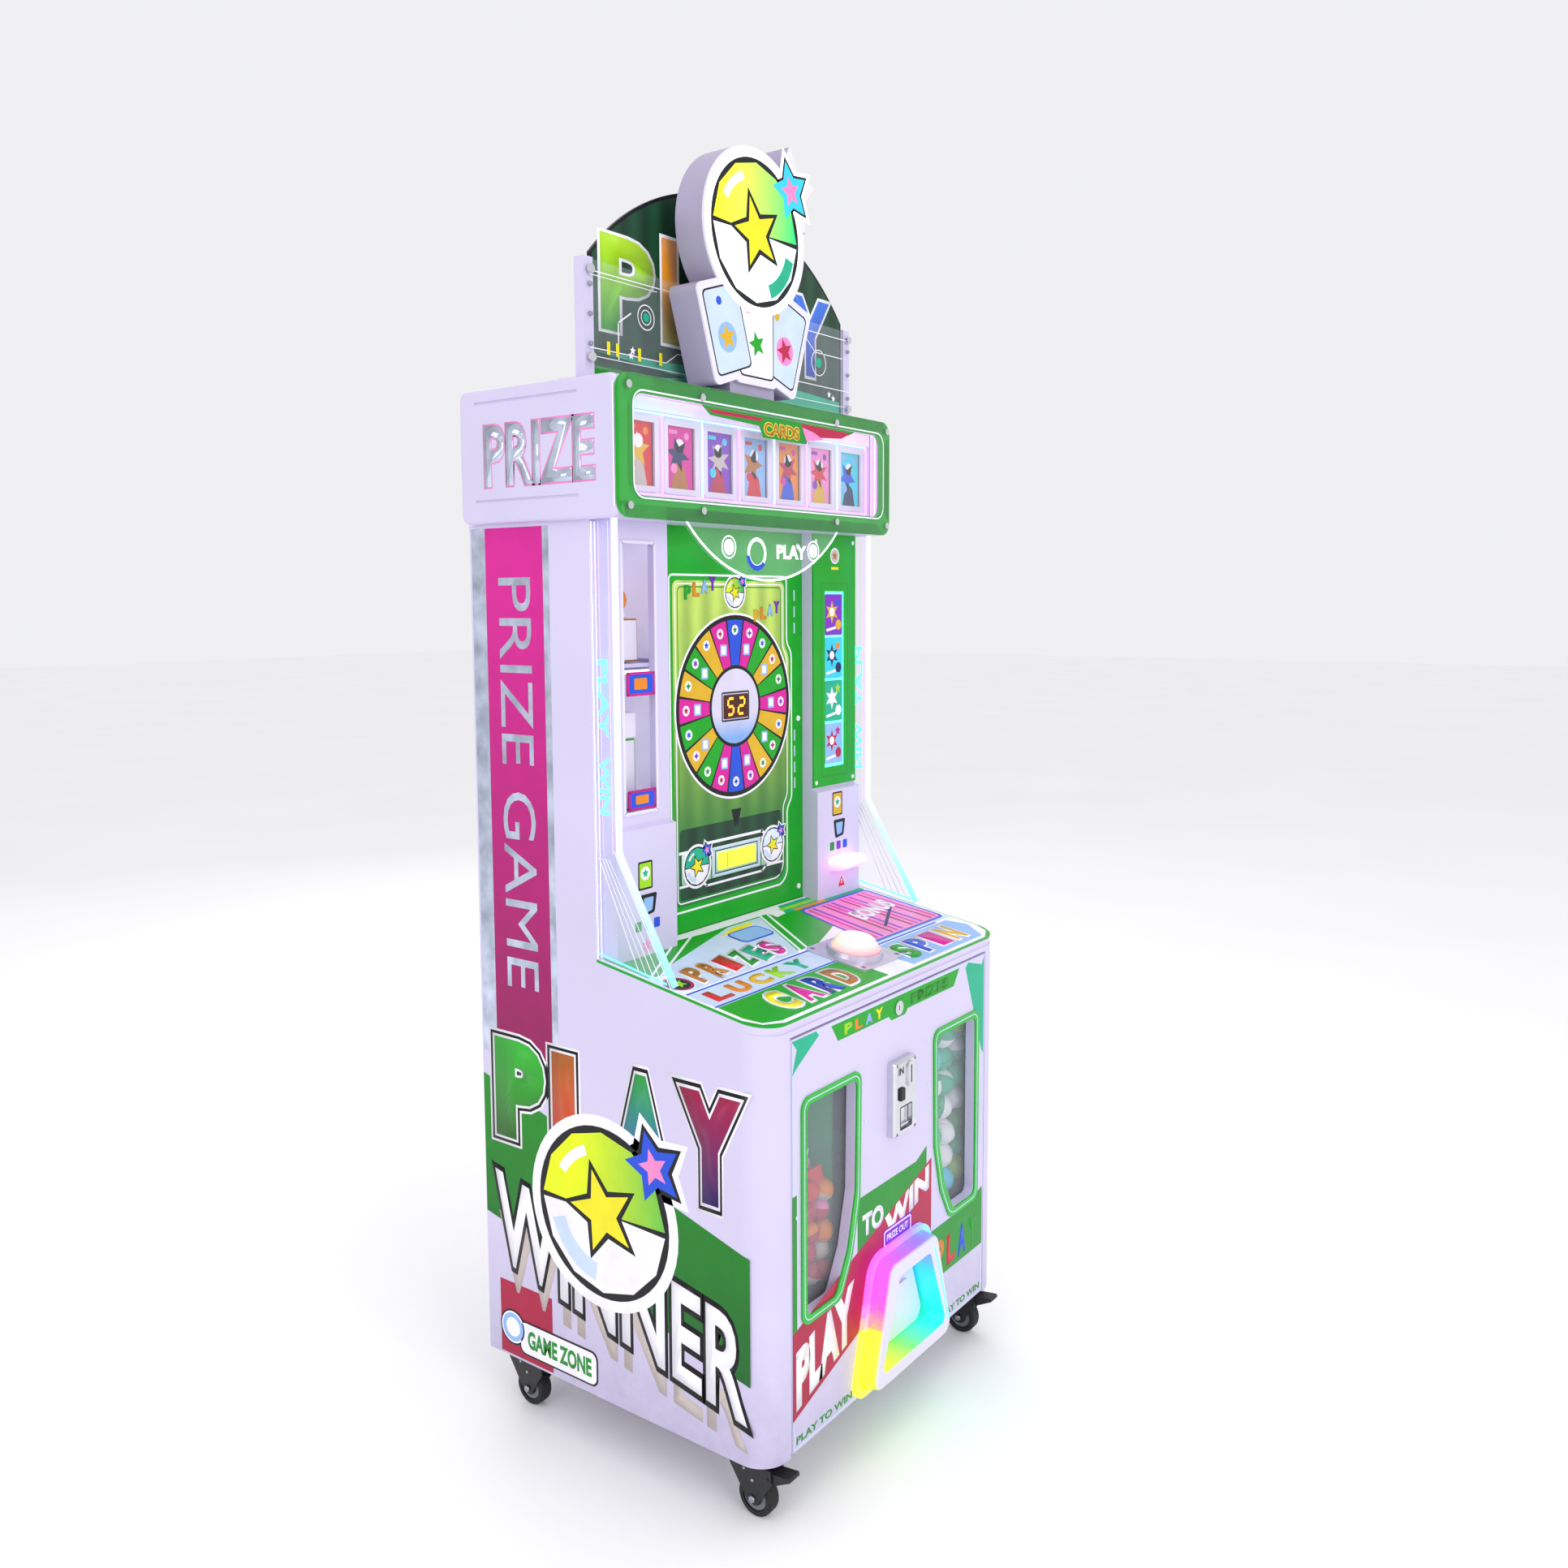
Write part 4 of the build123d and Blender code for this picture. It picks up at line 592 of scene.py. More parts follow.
def colour_word(art, text, colours, left, low, right, high, gap, edge, weight):
    """A word whose letters each have an ink, over a black outline and a white one."""
    step = (right - left + gap) / len(text)
    boxes = [(left + i * step, left + (i + 1) * step - gap) for i in range(len(text))]
    if art.mirrored:
        boxes = boxes[::-1]
    for material, grow in ((white, edge[0] + edge[1]), (black, edge[0]), (white, edge[1])):
        art.ink(material)
        for letter, (a, b) in zip(text, boxes):
            art.letters(letter, a, low, b, high, grow=grow, weight=weight)
    for i, (a, b) in enumerate(boxes):
        art.ink(colours[i], 0.0 if i else 0.03).letters(text[i], a, low, b, high, weight=weight)


def badge(art, u, v, size, shell):
    """The machine's emblem: a prize capsule with a star across its seam and another at its shoulder."""
    star_u, star_v = u + size * 0.78, v + size * 0.72
    for material, round_size, outer, inner in ((white, 1.13, 0.62, 0.36), (black, 1, 0.5, 0.27)):
        art.ink(material).disc(u, v, size * round_size)
        art.star(star_u, star_v, size * outer, size * inner, turn=18)
    for material, start, end in ((shell, 2, 178), (white, 182, 358)):
        art.ink(material).wedge(u, v, 0.5, size * 0.94, start, end)
    for material, outer, inner in ((blue, 0.42, 0.21), (pink, 0.22, 0.1)):
        art.ink(material).star(star_u, star_v, size * outer, size * inner, turn=18)
    art.ink(pale_blue).wedge(u, v, size * 0.62, size * 0.84, 198, 262)
    art.ink(black).star(u, v, size * 0.62, size * 0.29, turn=18)
    art.ink(white).wedge(u, v, size * 0.66, size * 0.78, 110, 150)
    art.ink(yellow).star(u, v, size * 0.5, size * 0.215, turn=18)


# ---------------------------------------------------------------- side panels

crown = ink("crown", ("Y", "#17B34A", -120, "#E6F500", 100))
letter_inks = [
    ink("leaf_letter", ("Z", "#2F6B1E", 490, "#39B63A", 655)),
    ink("ember_letter", ("Z", "#D8342B", 490, "#B5652A", 655)),
    ink("sea_letter", ("Z", "#2B3FB0", 490, "#35A24A", 655)),
    ink("dusk_letter", ("Z", "#2A1A66", 490, "#A01F4C", 655)),
]
for name, side in (("left", -1), ("right", 1)):
    art = flank("side_print_" + name, "printed_sheet", side * half_width, side)
    art.ink(mirror).bar(-318, 630, -285, 1508).bar(-152, 630, -138, 1508)
    art.ink(magenta).bar(-285, 622, -152, 1508)
    art.ink(mirror).letters("PRIZE GAME", -256, 752, -180, 1428, turn=-90, weight=0.0)
    art.ink(dark_green).patch([(-321, 345), (252, 225), (252, 423), (-321, 590)])
    art.ink(crimson).bar(-292, 102, -166, 232)
    art.ink(tan).letters("WINNER", -290, 172, 246, 300, weight=0.02, slant=-0.2)
    art.ink(black).letters("WINNER", -298, 214, 246, 372, weight=0.02, grow=8, slant=-0.2)
    art.ink(white).letters("WINNER", -298, 214, 246, 372, weight=0.02, slant=-0.2)
    colour_word(art, "PLAY", letter_inks, -292, 488, 238, 660, gap=18, edge=(9, 4), weight=0.07)
    badge(art, -46, 414, 142, crown)
    art.ink(black).disc(-262, 152, 31).bar(-246, 112, -62, 172, 14)
    art.ink(white).disc(-262, 152, 28).bar(-243, 115, -65, 169, 12)
    art.ink(sky).ring(-262, 152, 25, 8)
    art.ink(mid_green).letters("GAME ZONE", -226, 126, -76, 158, weight=0.04)
    art.done()

# ---------------------------------------------------------------- front door print

art = Artwork("door_print", "front_door", "printed_sheet", (0, front_y, 0), RIGHT, UP)
left, right = door_low.x + 3, door_high.x - 3
art.ink(pale_blue).frame(left, door_low.z + 3, right, door_high.z - 3, 2.5, 6)
art.ink(teal)
art.patch([(left, 690), (left + 12, 700), (left + 12, 728), (left + 70, 735), (left + 62, 743), (left, 743)])
art.patch(
    [(right, 560), (right - 8, 570), (right - 8, 728), (right - 70, 735), (right - 60, 743), (right, 743)]
)
art.ink(green)
art.patch([(-196, 740), (-178, 712), (-30, 712), (-22, 704), (22, 704), (30, 712), (186, 712), (206, 740)])
art.ink(mid_green).bar(left, 290, left + 11, 505)
art.patch([(-122, 250), (95, 300), (95, 452), (60, 436), (-122, 436)])
art.patch([(112, 196), (right, 196), (right, 306), (236, 290), (112, 290)])
art.ink(crimson).patch([(left, 152), (112, 290), (112, 425), (left, 290)])
art.ink(white).letters("PLAY", left + 8, 190, -132, 284, weight=0.06, slant=0.32)
art.letters("WIN", -40, 352, 104, 396, weight=0.05, slant=0.3)
art.letters("TO", -108, 366, -44, 404, weight=0.05)
art.ink(mid_green).letters("PLAY TO WIN", left + 8, 112, -138, 124, weight=0.03)
art.letters("PLAY TO WIN", 146, 112, right - 8, 124, weight=0.03)
art.row("PLAY", [orange, red, blue, green], 128, 206, 30, 56, 40, slant=0.1)
art.row("PLAY", [lime, orange, sky, yellow], -160, 716, 22, 18, 30)
art.ink(dark_green).letters("PRIZES", 40, 716, 168, 734, weight=0.05)
art.ink(purple).bar(-46, 320, 46, 354, 6)
art.ink(lit_violet).frame(-43, 323, 43, 351, 2.5, 5)
art.ink(white).letters("PRIZE OUT", -34, 331, 34, 343, weight=0.03)
for u, v in ((-288, 250), (-288, 470), (290, 470), (100, 560), (-100, 560), (-96, 640), (96, 640)):
    art.ink(pale_blue, 0.0).disc(u, v, 3.2, sides=16)
art.done()

trim_print = Artwork("window_trim_line", "front_door", "printed_sheet", (0, front_y - 3, 0), RIGHT, UP)
for s in (-1, 1):
    shape = [(278, 292), (174, 292), (140, 354), (118, 442), (114, 650), (278, 650)]
    shape = [(s * u, v) for u, v in shape]
    inner = [(s * (196 + (abs(u) - 196) * 0.93), 471 + (v - 471) * 0.97) for u, v in shape]
    trim_print.ink(pale_blue, 0.1 if s < 0 else 0.0).outline(inner, 1.8, 16)
trim_print.done()

# ---------------------------------------------------------------- control deck

deck_high = span("deck_sheet")[1]
deck_front_z = 774
deck_rise, deck_run = deck_high.z - deck_front_z, deck_high.y - front_y
slope = math.atan2(deck_rise, deck_run)
ALONG = (0, math.cos(slope), math.sin(slope))
art = Artwork("deck_print", "cabinet", "printed_sheet", (0, front_y, deck_front_z), RIGHT, ALONG)
length = math.hypot(deck_run, deck_rise)
edge = half_width - 3
art.ink(white)
art.patch(
    [
        (-edge, 48),
        (-edge, length),
        (edge, length),
        (edge, 48),
        (edge - 14, 20),
        (edge - 48, 4),
        (48 - edge, 4),
        (14 - edge, 20),
    ]
)
art.ink(green)
art.patch(
    [(-edge + 8, 52), (-edge + 8, 100), (-38, 100), (-14, 74), (-10, 12), (50 - edge, 12), (18 - edge, 24)]
)
art.patch(
    [
        (-edge + 8, 240),
        (-edge + 8, length - 4),
        (edge - 8, length - 4),
        (edge - 8, 296),
        (60, 296),
        (10, 170),
        (-40, 170),
        (60, 318),
        (-120, 318),
    ]
)
art.ink(pale_blue).patch([(-edge + 6, 104), (-edge + 6, 158), (edge - 6, 158), (edge - 6, 104)])
art.patch([(-330, 166), (-300, 250), (-60, 314), (30, 314), (-52, 166)])
art.ink(sky).patch([(70, 12), (60, 98), (edge - 30, 98), (edge - 12, 60), (edge - 44, 12)])
art.ink(blue).stroke([(8 - edge, 103), (edge - 60, 103)], 4).stroke([(8 - edge, 160), (90, 160)], 4)
art.ink(white).stroke([(8 - edge, 222), (-150, 322)], 4).stroke([(8 - edge, 236), (-176, 330)], 4)
art.stroke([(-44, 168), (40, 324)], 5).stroke([(-24, 168), (60, 324)], 5)
art.ink(teal).patch([(90, 300), (edge - 10, 300), (edge - 10, length - 6), (110, length - 6)])
art.ink(lime).bar(96, 312, 230, 322)
art.ink(orange).bar(120, 298, 220, 306)
art.ink(blue).patch([(96, 112), (edge - 8, 112), (edge - 8, 296), (124, 296)], 14)
art.ink(pink).patch([(102, 118), (edge - 14, 118), (edge - 14, 290), (129, 290)], 10)
for i in range(13):
    art.ink([bright_magenta, purple, pink, magenta][i % 4], 0.0 if i else 0.03)
    art.stroke([(128 + 17 * i, 126), (142 + 15 * i, 282)], 7)
art.ink(navy).stroke([(196, 150), (300, 204)], 6)
art.ink(white).letters("BONUS", 190, 196, 322, 240, weight=0.05, slant=0.1)
art.ink(white).disc(-328, 196, 27).ink(magenta).disc(-328, 196, 25).ink(black).disc(-328, 196, 19)
art.ink(lime).star(-328, 196, 15, 7, turn=18)
prizes_inks = [brown, orange, red, mid_green, teal, bright_magenta]
art.row("PRIZES", prizes_inks, -292, 178, 32, 54, 40, edge=4, step=0.06, slant=0.25)
art.ink(sky).bar(-96, 246, -10, 292, 12).ink(blue).frame(-96, 246, -10, 292, 3, 12)
art.ink(yellow).patch([(-110, 290), (-60, 306), (0, 306), (-20, 296)])
art.row("LUCKY", [red, orange, gold, lime, teal], -330, 114, 40, 34, 52)
art.row("CARD", [yellow, bright_magenta, blue, brown], -268, 26, 42, 62, 54, edge=4)
art.row("SPIN", [green, blue, bright_magenta, gold], 92, 26, 40, 58, 52, edge=4)
art.done()

button_print = Artwork(
    "button_plate_bolts", "cabinet", "zinc_steel", (0, front_y, deck_front_z), RIGHT, ALONG, lift=4.4
)
plate_low, plate_high = span("button_ring")
middle = (plate_low.x + plate_high.x) / 2
for du in (-52, 52):
    for dv in (-52, 52):
        button_print.ink(zinc_steel, 0.0).disc(middle + du, 104 + dv, 5, sides=20)
        button_print.ink(black, 0.0).disc(middle + du, 104 + dv, 2.4, sides=6)
button_print.done()

# ---------------------------------------------------------------- centre board

lime_field = striped(ink("lime_field", ("Z", "#1A7A34", 960, "#CDE86A", 1420)), "X", 26, "#155C2C", 0.35)
art = Artwork("board_print", "cabinet", "printed_sheet", (0, board_low.y, 0), RIGHT, UP)
panel = [
    (-166, 872),
    (128, 872),
    (146, 890),
    (146, 1010),
    (160, 1026),
    (160, 1290),
    (146, 1306),
    (146, 1424),
    (-166, 1424),
]
art.ink(white).outline([(u * 1.06, 1148 + (v - 1148) * 1.04) for u, v in panel], 3.5, 10)
art.ink(lime_field).patch(panel, 12)
art.ink(white).outline([(u * 0.97, 1148 + (v - 1148) * 0.985) for u, v in panel], 2.5, 10)
art.ink(mid_green).outline([(u * 0.93, 1148 + (v - 1148) * 0.965) for u, v in panel], 2, 10)
art.ink(forest).bar(-154, 882, 134, 1004, 8)
wheel_z = 1205
art.ink(white).disc(0, wheel_z, 164, sides=72).ink(black).disc(0, wheel_z, 160, sides=72)
sector_count, first_sector = 20, 99
sector_turn = 360 / sector_count
far, near = 134, 104
sectors = [bright_magenta, gold, green, gold, bright_magenta, green, gold, green, bright_magenta, blue]
for i in range(sector_count):
    start = first_sector + sector_turn * i
    art.ink(sectors[i % 10], 0.0 if i else 0.03).wedge(0, wheel_z, 72, 152, start + 0.8, start + 17.2)
for i in range(sector_count):
    angle = math.radians(first_sector + sector_turn * (i + 0.5))
    art.ink(white, 0.0 if i else 0.03)
    art.disc(far * math.cos(angle), wheel_z + far * math.sin(angle), 9, sides=12)
    if i % 2 == 0:
        u, v = near * math.cos(angle), wheel_z + near * math.sin(angle)
        art.ink(sky, 0.0).bar(u - 9, v - 10, u + 9, v + 10, 2)
for i in range(sector_count):
    angle = math.radians(first_sector + sector_turn * (i + 0.5))
    u, v = far * math.cos(angle), wheel_z + far * math.sin(angle)
    art.ink([crimson, blue, purple, mid_green][i % 4], 0.0 if i else 0.03)
    art.star(u, v, 7, 3.2, points=4 + i % 3)
    if i % 2 == 0:
        u, v = near * math.cos(angle), wheel_z + near * math.sin(angle)
        art.ink(white, 0.0).bar(u - 6, v - 7, u + 6, v + 7, 1.5)
art.ink(black).disc(0, wheel_z, 72).ink(ink("hub", ("Z", "#7FA9E6", 1150, "#D8D2EA", 1190)))
art.disc(0, wheel_z, 66)
art.ink(black).frame(-39, wheel_z - 26, 39, wheel_z + 26, 3, 3)
art.ink(black).patch([(-14, 1022), (-8, 1022), (0, 1000), (8, 1022), (14, 1022), (3, 988), (-3, 988)])
art.ink(ink("mist_green", ("Z", "#8FBFA2", 906, "#CFE7D8", 960))).bar(-150, 908, 132, 962, 5)
art.ink(white).stroke([(-154, 964), (-96, 964), (-84, 972), (74, 972), (86, 964), (136, 964)], 5)
art.stroke([(-154, 906), (-96, 906), (-84, 898), (74, 898), (86, 906), (136, 906)], 4)
art.ink(black).frame(-72, 906, 72, 964, 2, 4).ink(pale_blue).frame(-68, 910, 68, 960, 5, 3)
art.ink(black).frame(-61, 914, 61, 956, 2, 2)
badge(art, 0, 1404, 27, ink("small_crown", ("X", "#E6F500", -24, "#17B34A", 24)))
badge(art, -110, 936, 34, teal)
badge(art, 106, 942, 32, ink("pale_crown", "#DDEBFA"))
art.row("PLAY", [green, orange, sky, purple], -136, 1392, 17, 24, 22, climb=5)
art.row("PLAY", [gold, orange, sky, purple], 54, 1352, 16, 22, 20, climb=5)
art.ink(white)
for u, v in ((-188, 1490), (188, 1490), (-188, 850), (188, 850), (-188, 1170), (188, 1170)):
    art.disc(u, v, 5, sides=20)
art.ink(pale_blue)
for v in (1040, 1070, 1100, 1130, 1330, 1360, 1390):
    art.stroke([(176, v), (176, v + 18)], 2).stroke([(-180, v), (-180, v + 18)], 2)
board_top = art.top
art.done()


def digit(art, shape, u, v, wide, tall, width):
    """One seven-segment figure."""
    bars = {
        "a": [(-1, 1), (1, 1)],
        "b": [(1, 1), (1, 0)],
        "c": [(1, 0), (1, -1)],
        "d": [(-1, -1), (1, -1)],
        "e": [(-1, 0), (-1, -1)],
        "f": [(-1, 1), (-1, 0)],
        "g": [(-1, 0), (1, 0)],
    }
    for name in shape:
        (a, b), (c, d) = [(u + x * (wide / 2) + y * 1.2, v + y * tall / 2) for x, y in bars[name]]
        run = Vector((c - a, d - b)).normalized() * width * 0.9
        art.stroke([(a + run.x, b + run.y), (c - run.x, d - run.y)], width)


art = Artwork("display_digits", "cabinet", "black_plastic", (0, board_low.y, 0), RIGHT, UP, lift=board_top)
art.ink(dark_window).bar(-34, wheel_z - 21, 34, wheel_z + 21, 2)
art.ink(lit_orange)
digit(art, "afgcd", -15, wheel_z, 16, 28, 4.5)
digit(art, "abged", 15, wheel_z, 16, 28, 4.5)
art.ink(lit_yellow).bar(-53, 920, 53, 950, 2)
art.ink(mid_green).stroke([(-28, 924), (-28, 946)], 2).stroke([(-22, 924), (-22, 946)], 2)
art.done()

# ---------------------------------------------------------------- columns beside the board

column_middle = 274
light_low = span("light_display")[0]
art = Artwork("light_pictures", "cabinet", "printed_sheet", (column_middle, light_low.y + 3, 0), RIGHT, UP)
art.ink(lit_cyan).bar(-33, 1073, 33, 1407)
for i, (field, accent) in enumerate(((sky, crimson), (teal, white), (cyan, navy), (purple, gold))):
    low = 1078 + 82 * i
    art.ink(field).bar(-29, low, 29, low + 78, 3)
    art.ink(accent).star(-6, low + 44, 22, 10, points=6).disc(16, low + 20, 10, sides=20)
    art.ink(white).disc(-6, low + 44, 8, sides=20).stroke([(-22, low + 10), (4, low + 14)], 5)
    art.ink([magenta, lime, orange, blue][i]).star(14, low + 62, 10, 5)
art.ink(lit_cyan).frame(-36, 1070, 36, 1410, 3, 2)
art.done()
art = Artwork("light_frame_print", "cabinet", "printed_sheet", (column_middle, light_low.y, 0), RIGHT, UP)
art.ink(mid_green).frame(-46, 1054, 46, 1424, 3, 4)
art.ink(white).disc(0, 1474, 15).ink(tan).disc(0, 1474, 12).ink(brown).star(0, 1474, 9, 4)
art.ink(yellow).bar(-12, 1448, 12, 1453)
for u, v in ((-62, 1500), (62, 1500), (-62, 1046), (62, 1046)):
    art.ink(white).disc(u, v, 4, sides=16)
art.done()

box_face = span("left_column")[0].y
for name, side, sticker_z in (("left", -1, 930), ("right", 1, 978)):
    art = Artwork(
        name + "_box_stickers", "cabinet", "printed_sheet", (side * column_middle, box_face, 0), RIGHT, UP
    )
    art.ink(black).bar(-22, sticker_z, 12, sticker_z + 46, 3)
    art.ink([lime, gold][side > 0]).bar(-19, sticker_z + 3, 9, sticker_z + 43, 2)
    art.ink(white).disc(-5, sticker_z + 26, 11, sides=24).ink(teal).star(-5, sticker_z + 26, 8, 4)
    art.ink(black)
    art.patch([(-18, sticker_z - 8), (-12, sticker_z - 44), (16, sticker_z - 40), (22, sticker_z - 8)], 4)
    art.ink(sky)
    art.patch([(-10, sticker_z - 14), (-6, sticker_z - 38), (10, sticker_z - 36), (14, sticker_z - 14)], 3)
    for i in range(3):
        art.ink([mid_green, purple, blue][i])
        art.bar(-30 + 22 * i, sticker_z - 66, -16 + 22 * i, sticker_z - 50, 2)
    if side < 0:
        art.ink(pink).star(-4, sticker_z - 92, 13, 6, points=6)
    else:
        art.ink(red).patch([(-2, 838), (20, 838), (9, 858)], 2).ink(white).bar(7.5, 843, 10.5, 852)
    art.done()

# Shelf, frames and prizes in the lit niche.
art = Artwork("niche_frames", "cabinet", "white_plastic", (-column_middle, 29, 0), RIGHT, UP)
art.ink(white_plastic, 2.0).frame(-41, 1051, 41, 1484, 5, 3)
art.ink(magenta, 0.4).frame(-30, 1240, 34, 1278, 4, 2).frame(-30, 1058, 34, 1090, 4, 2)
art.ink(blue).bar(-26, 1244, 30, 1274, 1).bar(-26, 1062, 30, 1086, 1)
art.ink(orange).bar(-14, 1250, 16, 1268, 2).bar(-14, 1067, 16, 1081, 2)
art.done()


def block(part, low, high, index, round_off=2.0):
    """A box between two corners, with its edges rounded."""
    low, high = Vector(low), Vector(high)
    made = bmesh.ops.create_cube(part, size=1.0)["verts"]
    bmesh.ops.scale(part, vec=high - low, verts=made)
    bmesh.ops.translate(part, vec=(low + high) / 2, verts=made)
    edges = list({e for v in made for e in v.link_edges})
    rounded = bmesh.ops.bevel(
        part, geom=edges, offset=round_off, affect="EDGES", segments=2, profile=0.5, material=-1
    )
    faces = {f for v in made if v.is_valid for f in v.link_faces} | set(rounded["faces"])
    for face in faces:
        face.material_index = index
        face.smooth = False
    return faces


def rod(part, low_end, high_end, radius, index, end_radius=None, sides=24):
    """A round bar or cone between two points."""
    low_end, high_end = Vector(low_end), Vector(high_end)
    turn = (high_end - low_end).to_track_quat("Z", "Y").to_matrix().to_4x4()
    made = bmesh.ops.create_cone(
        part,
        cap_ends=True,
        segments=sides,
        radius1=radius,
        radius2=radius if end_radius is None else end_radius,
        depth=(high_end - low_end).length,
        matrix=Matrix.Translation((low_end + high_end) / 2) @ turn,
    )["verts"]
    faces = {f for v in made for f in v.link_faces}
    for face in faces:
        face.material_index = index
        face.smooth = len(face.verts) == 4
    return faces


def solid(name, body, part, materials):
    """Turns a mesh worked out in millimetres into a piece."""
    bmesh.ops.scale(part, vec=(0.001, 0.001, 0.001), verts=part.verts)
    mesh = bpy.data.meshes.new(name)
    part.to_mesh(mesh)
    part.free()
    for material in materials:
        mesh.materials.append(material)
    return put(mesh, name, body)


part = bmesh.new()
block(part, (-338, 36, 1044), (-210, 150, 1052), 0)
block(part, (-300, 60, 1052), (-250, 110, 1170), 1, 4)
block(part, (-296, 52, 1170), (-256, 100, 1212), 2, 4)
rod(part, (-288, 80, 1212), (-288, 80, 1232), 14, 3)
block(part, (-304, 56, 1293), (-246, 112, 1362), 4, 3)
rod(part, (-276, 84, 1362), (-276, 84, 1372), 22, 2)
made = bmesh.ops.create_icosphere(
    part, subdivisions=3, radius=24, matrix=Matrix.Translation((-276, 84, 1392))
)
for vertex in made["verts"]:
    for face in vertex.link_faces:
        face.material_index = 5
        face.smooth = True
solid(
    "niche_prizes",
    "cabinet",
    part,
    [white_plastic, ink("toy_box_green", "#5FAE3C"), ink("toy_box_white", "#E8E4F2"), yellow, brown, orange],
)
# The niche's back wall and right-hand inner wall are no lamps: they glow as painted light from the niche
# lamps.
part = bmesh.new()
block(part, (-338, 164, 1046), (-210, 170, 1494), 0, 1)
block(part, (-212, 44, 1060), (-209.5, 160, 1270), 0, 0.5)
block(part, (-212, 44, 1296), (-209.5, 160, 1484), 0, 0.5)
solid("niche_walls_painted_light", "cabinet", part, [ink("niche_walls_painted_glow", "#EDE9FA", 0.25)])
part = bmesh.new()
block(part, (-336, 44, 1490), (-212, 56, 1496), 0, 1)
block(part, (-336, 44, 1274), (-212, 52, 1280), 0, 1)
solid("niche_lamps", "cabinet", part, [lit_white])

# ---------------------------------------------------------------- light on the side wings

wing_high = span("side_wings")[1]
for name, side in (("left", -1), ("right", 1)):
    for face, reach in (("outer", wing_high.x), ("inner", wing_high.x - 8)):
        outward = side if face == "outer" else -side
        art = flank("wing_lines_" + name + "_" + face, "clear_acrylic", side * reach, outward)
        art.ink(lit_white).stroke([(-47, 830), (-47, 1510)], 1.6)
        art.ink(lit_violet).stroke([(-40, 1000), (-40, 1510)], 1).stroke([(-12, 1000), (-12, 1510)], 1)
        if face == "outer":
            art.ink(lit_cyan).stroke([(-44, 838), (94, 812)], 3)
            art.ink(white).stroke([(-9, 1004), (104, 806)], 2)
            for i in range(4):
                art.stroke([(-20 - 7 * i, 990), (86 - 16 * i, 812 + 4 * i)], 1.2 + 0.5 * (i % 2))
            art.ink(lit_cyan).letters("PLAY", -37, 1180, -17, 1300, turn=-90, weight=0.02)
            art.letters("WIN", -37, 1060, -17, 1150, turn=-90, weight=0.02)
        art.done()

# ---------------------------------------------------------------- arc sign under the header

art = Artwork("arc_sign_lines", "cabinet", "clear_acrylic", (0, -21, 0), RIGHT, UP)
arc_radius, arc_half, arc_drop, arc_top = 297.2, 215, 92, 1515
rim = []
for step in range(25):
    share = step / 24 * 2 - 1
    drop = arc_drop - (arc_radius - math.sqrt(arc_radius**2 - (share * arc_half) ** 2))
    rim.append((share * (arc_half - 2), arc_top - drop * 0.985))
art.ink(lit_white).stroke(rim, 3.5)
art.ink(lit_white).disc(-106, 1478, 13, sides=24).disc(136, 1478, 12, sides=24)
art.ring(-106, 1478, 19, 2, sides=32).ring(136, 1478, 18, 2, sides=32)
art.ring(-30, 1470, 26, 6, sides=40).letters("PLAY", 26, 1462, 114, 1486, weight=0.04)
art.ink(blue).wedge(-30, 1470, 21, 30, 190, 320)
art.done()

# ---------------------------------------------------------------- header

header_low, header_high = span("header_frame")
window_y = header_low.y - 4
rack_low = span("card_rack")[0]
art = Artwork("header_print", "cabinet", "printed_sheet", (0, window_y, 0), RIGHT, UP)
half = header_high.x
art.ink(white).frame(-half + 27, header_low.z + 29, half - 27, header_high.z - 22, 2.5, 24)
art.ink(mid_green)
art.patch(
    [(-190, 1698), (-168, 1684), (-40, 1680), (-30, 1662), (96, 1662), (106, 1682), (230, 1690), (250, 1698)]
)
art.ink(crimson).patch([(-176, 1694), (-160, 1688), (-36, 1688), (-30, 1694)])
art.patch([(80, 1696), (92, 1674), (206, 1682), (236, 1694)])
art.ink(pink).patch([(84, 1690), (96, 1668), (150, 1674), (120, 1684)], 2)
art.ink(yellow).letters("CARDS", -26, 1667, 74, 1688, weight=0.03, grow=1.5)
art.ink(brown).letters("CARDS", -26, 1667, 74, 1688, weight=0.03)
art.done()

art = Artwork("card_pictures", "cabinet", "printed_sheet", (0, rack_low.y + 4.9, 0), RIGHT, UP)
pitch = (2 * half - 66 - 102) / 6
fields = [
    (red, gold),
    (bright_magenta, navy),
    (purple, tan),
    (sky, brown),
    (orange, crimson),
    (pink, red),
    (cyan, blue),
]
for i, (field, accent) in enumerate(fields):
    u = pitch * (i - 3)
    art.ink(field, 0.03 if i == 0 else 0.0).bar(u - 33, 1565, u + 33, 1668)
chooser = random.Random(7)
for i, (field, accent) in enumerate(fields):
    u = pitch * (i - 3)
    art.ink(accent, 0.03 if i == 0 else 0.0)
    art.star(u + chooser.uniform(-6, 6), 1622, 29, 13, points=5 + i % 3, turn=18 * i)
    art.ink(white, 0.0 if i else 0.03).disc(u, 1636, 11, sides=20)
    art.ink(fields[(i + 2) % 7][1], 0.0)
    art.patch([(u - 22, 1568), (u + 20, 1568), (u + 12, 1600), (u - 8, 1612)], 4)
    art.ink(black, 0.0).frame(u - 33, 1565, u + 33, 1668, 2)
for i in range(7):
    u = pitch * (i - 3)
    art.ink(fields[(i + 4) % 7][0], 0.03 if i == 0 else 0.0).disc(u - 14, 1600, 8, sides=14)
    art.disc(u + 17, 1652, 6, sides=14).bar(u - 25, 1654, u - 6, 1660, 1)
art.done()

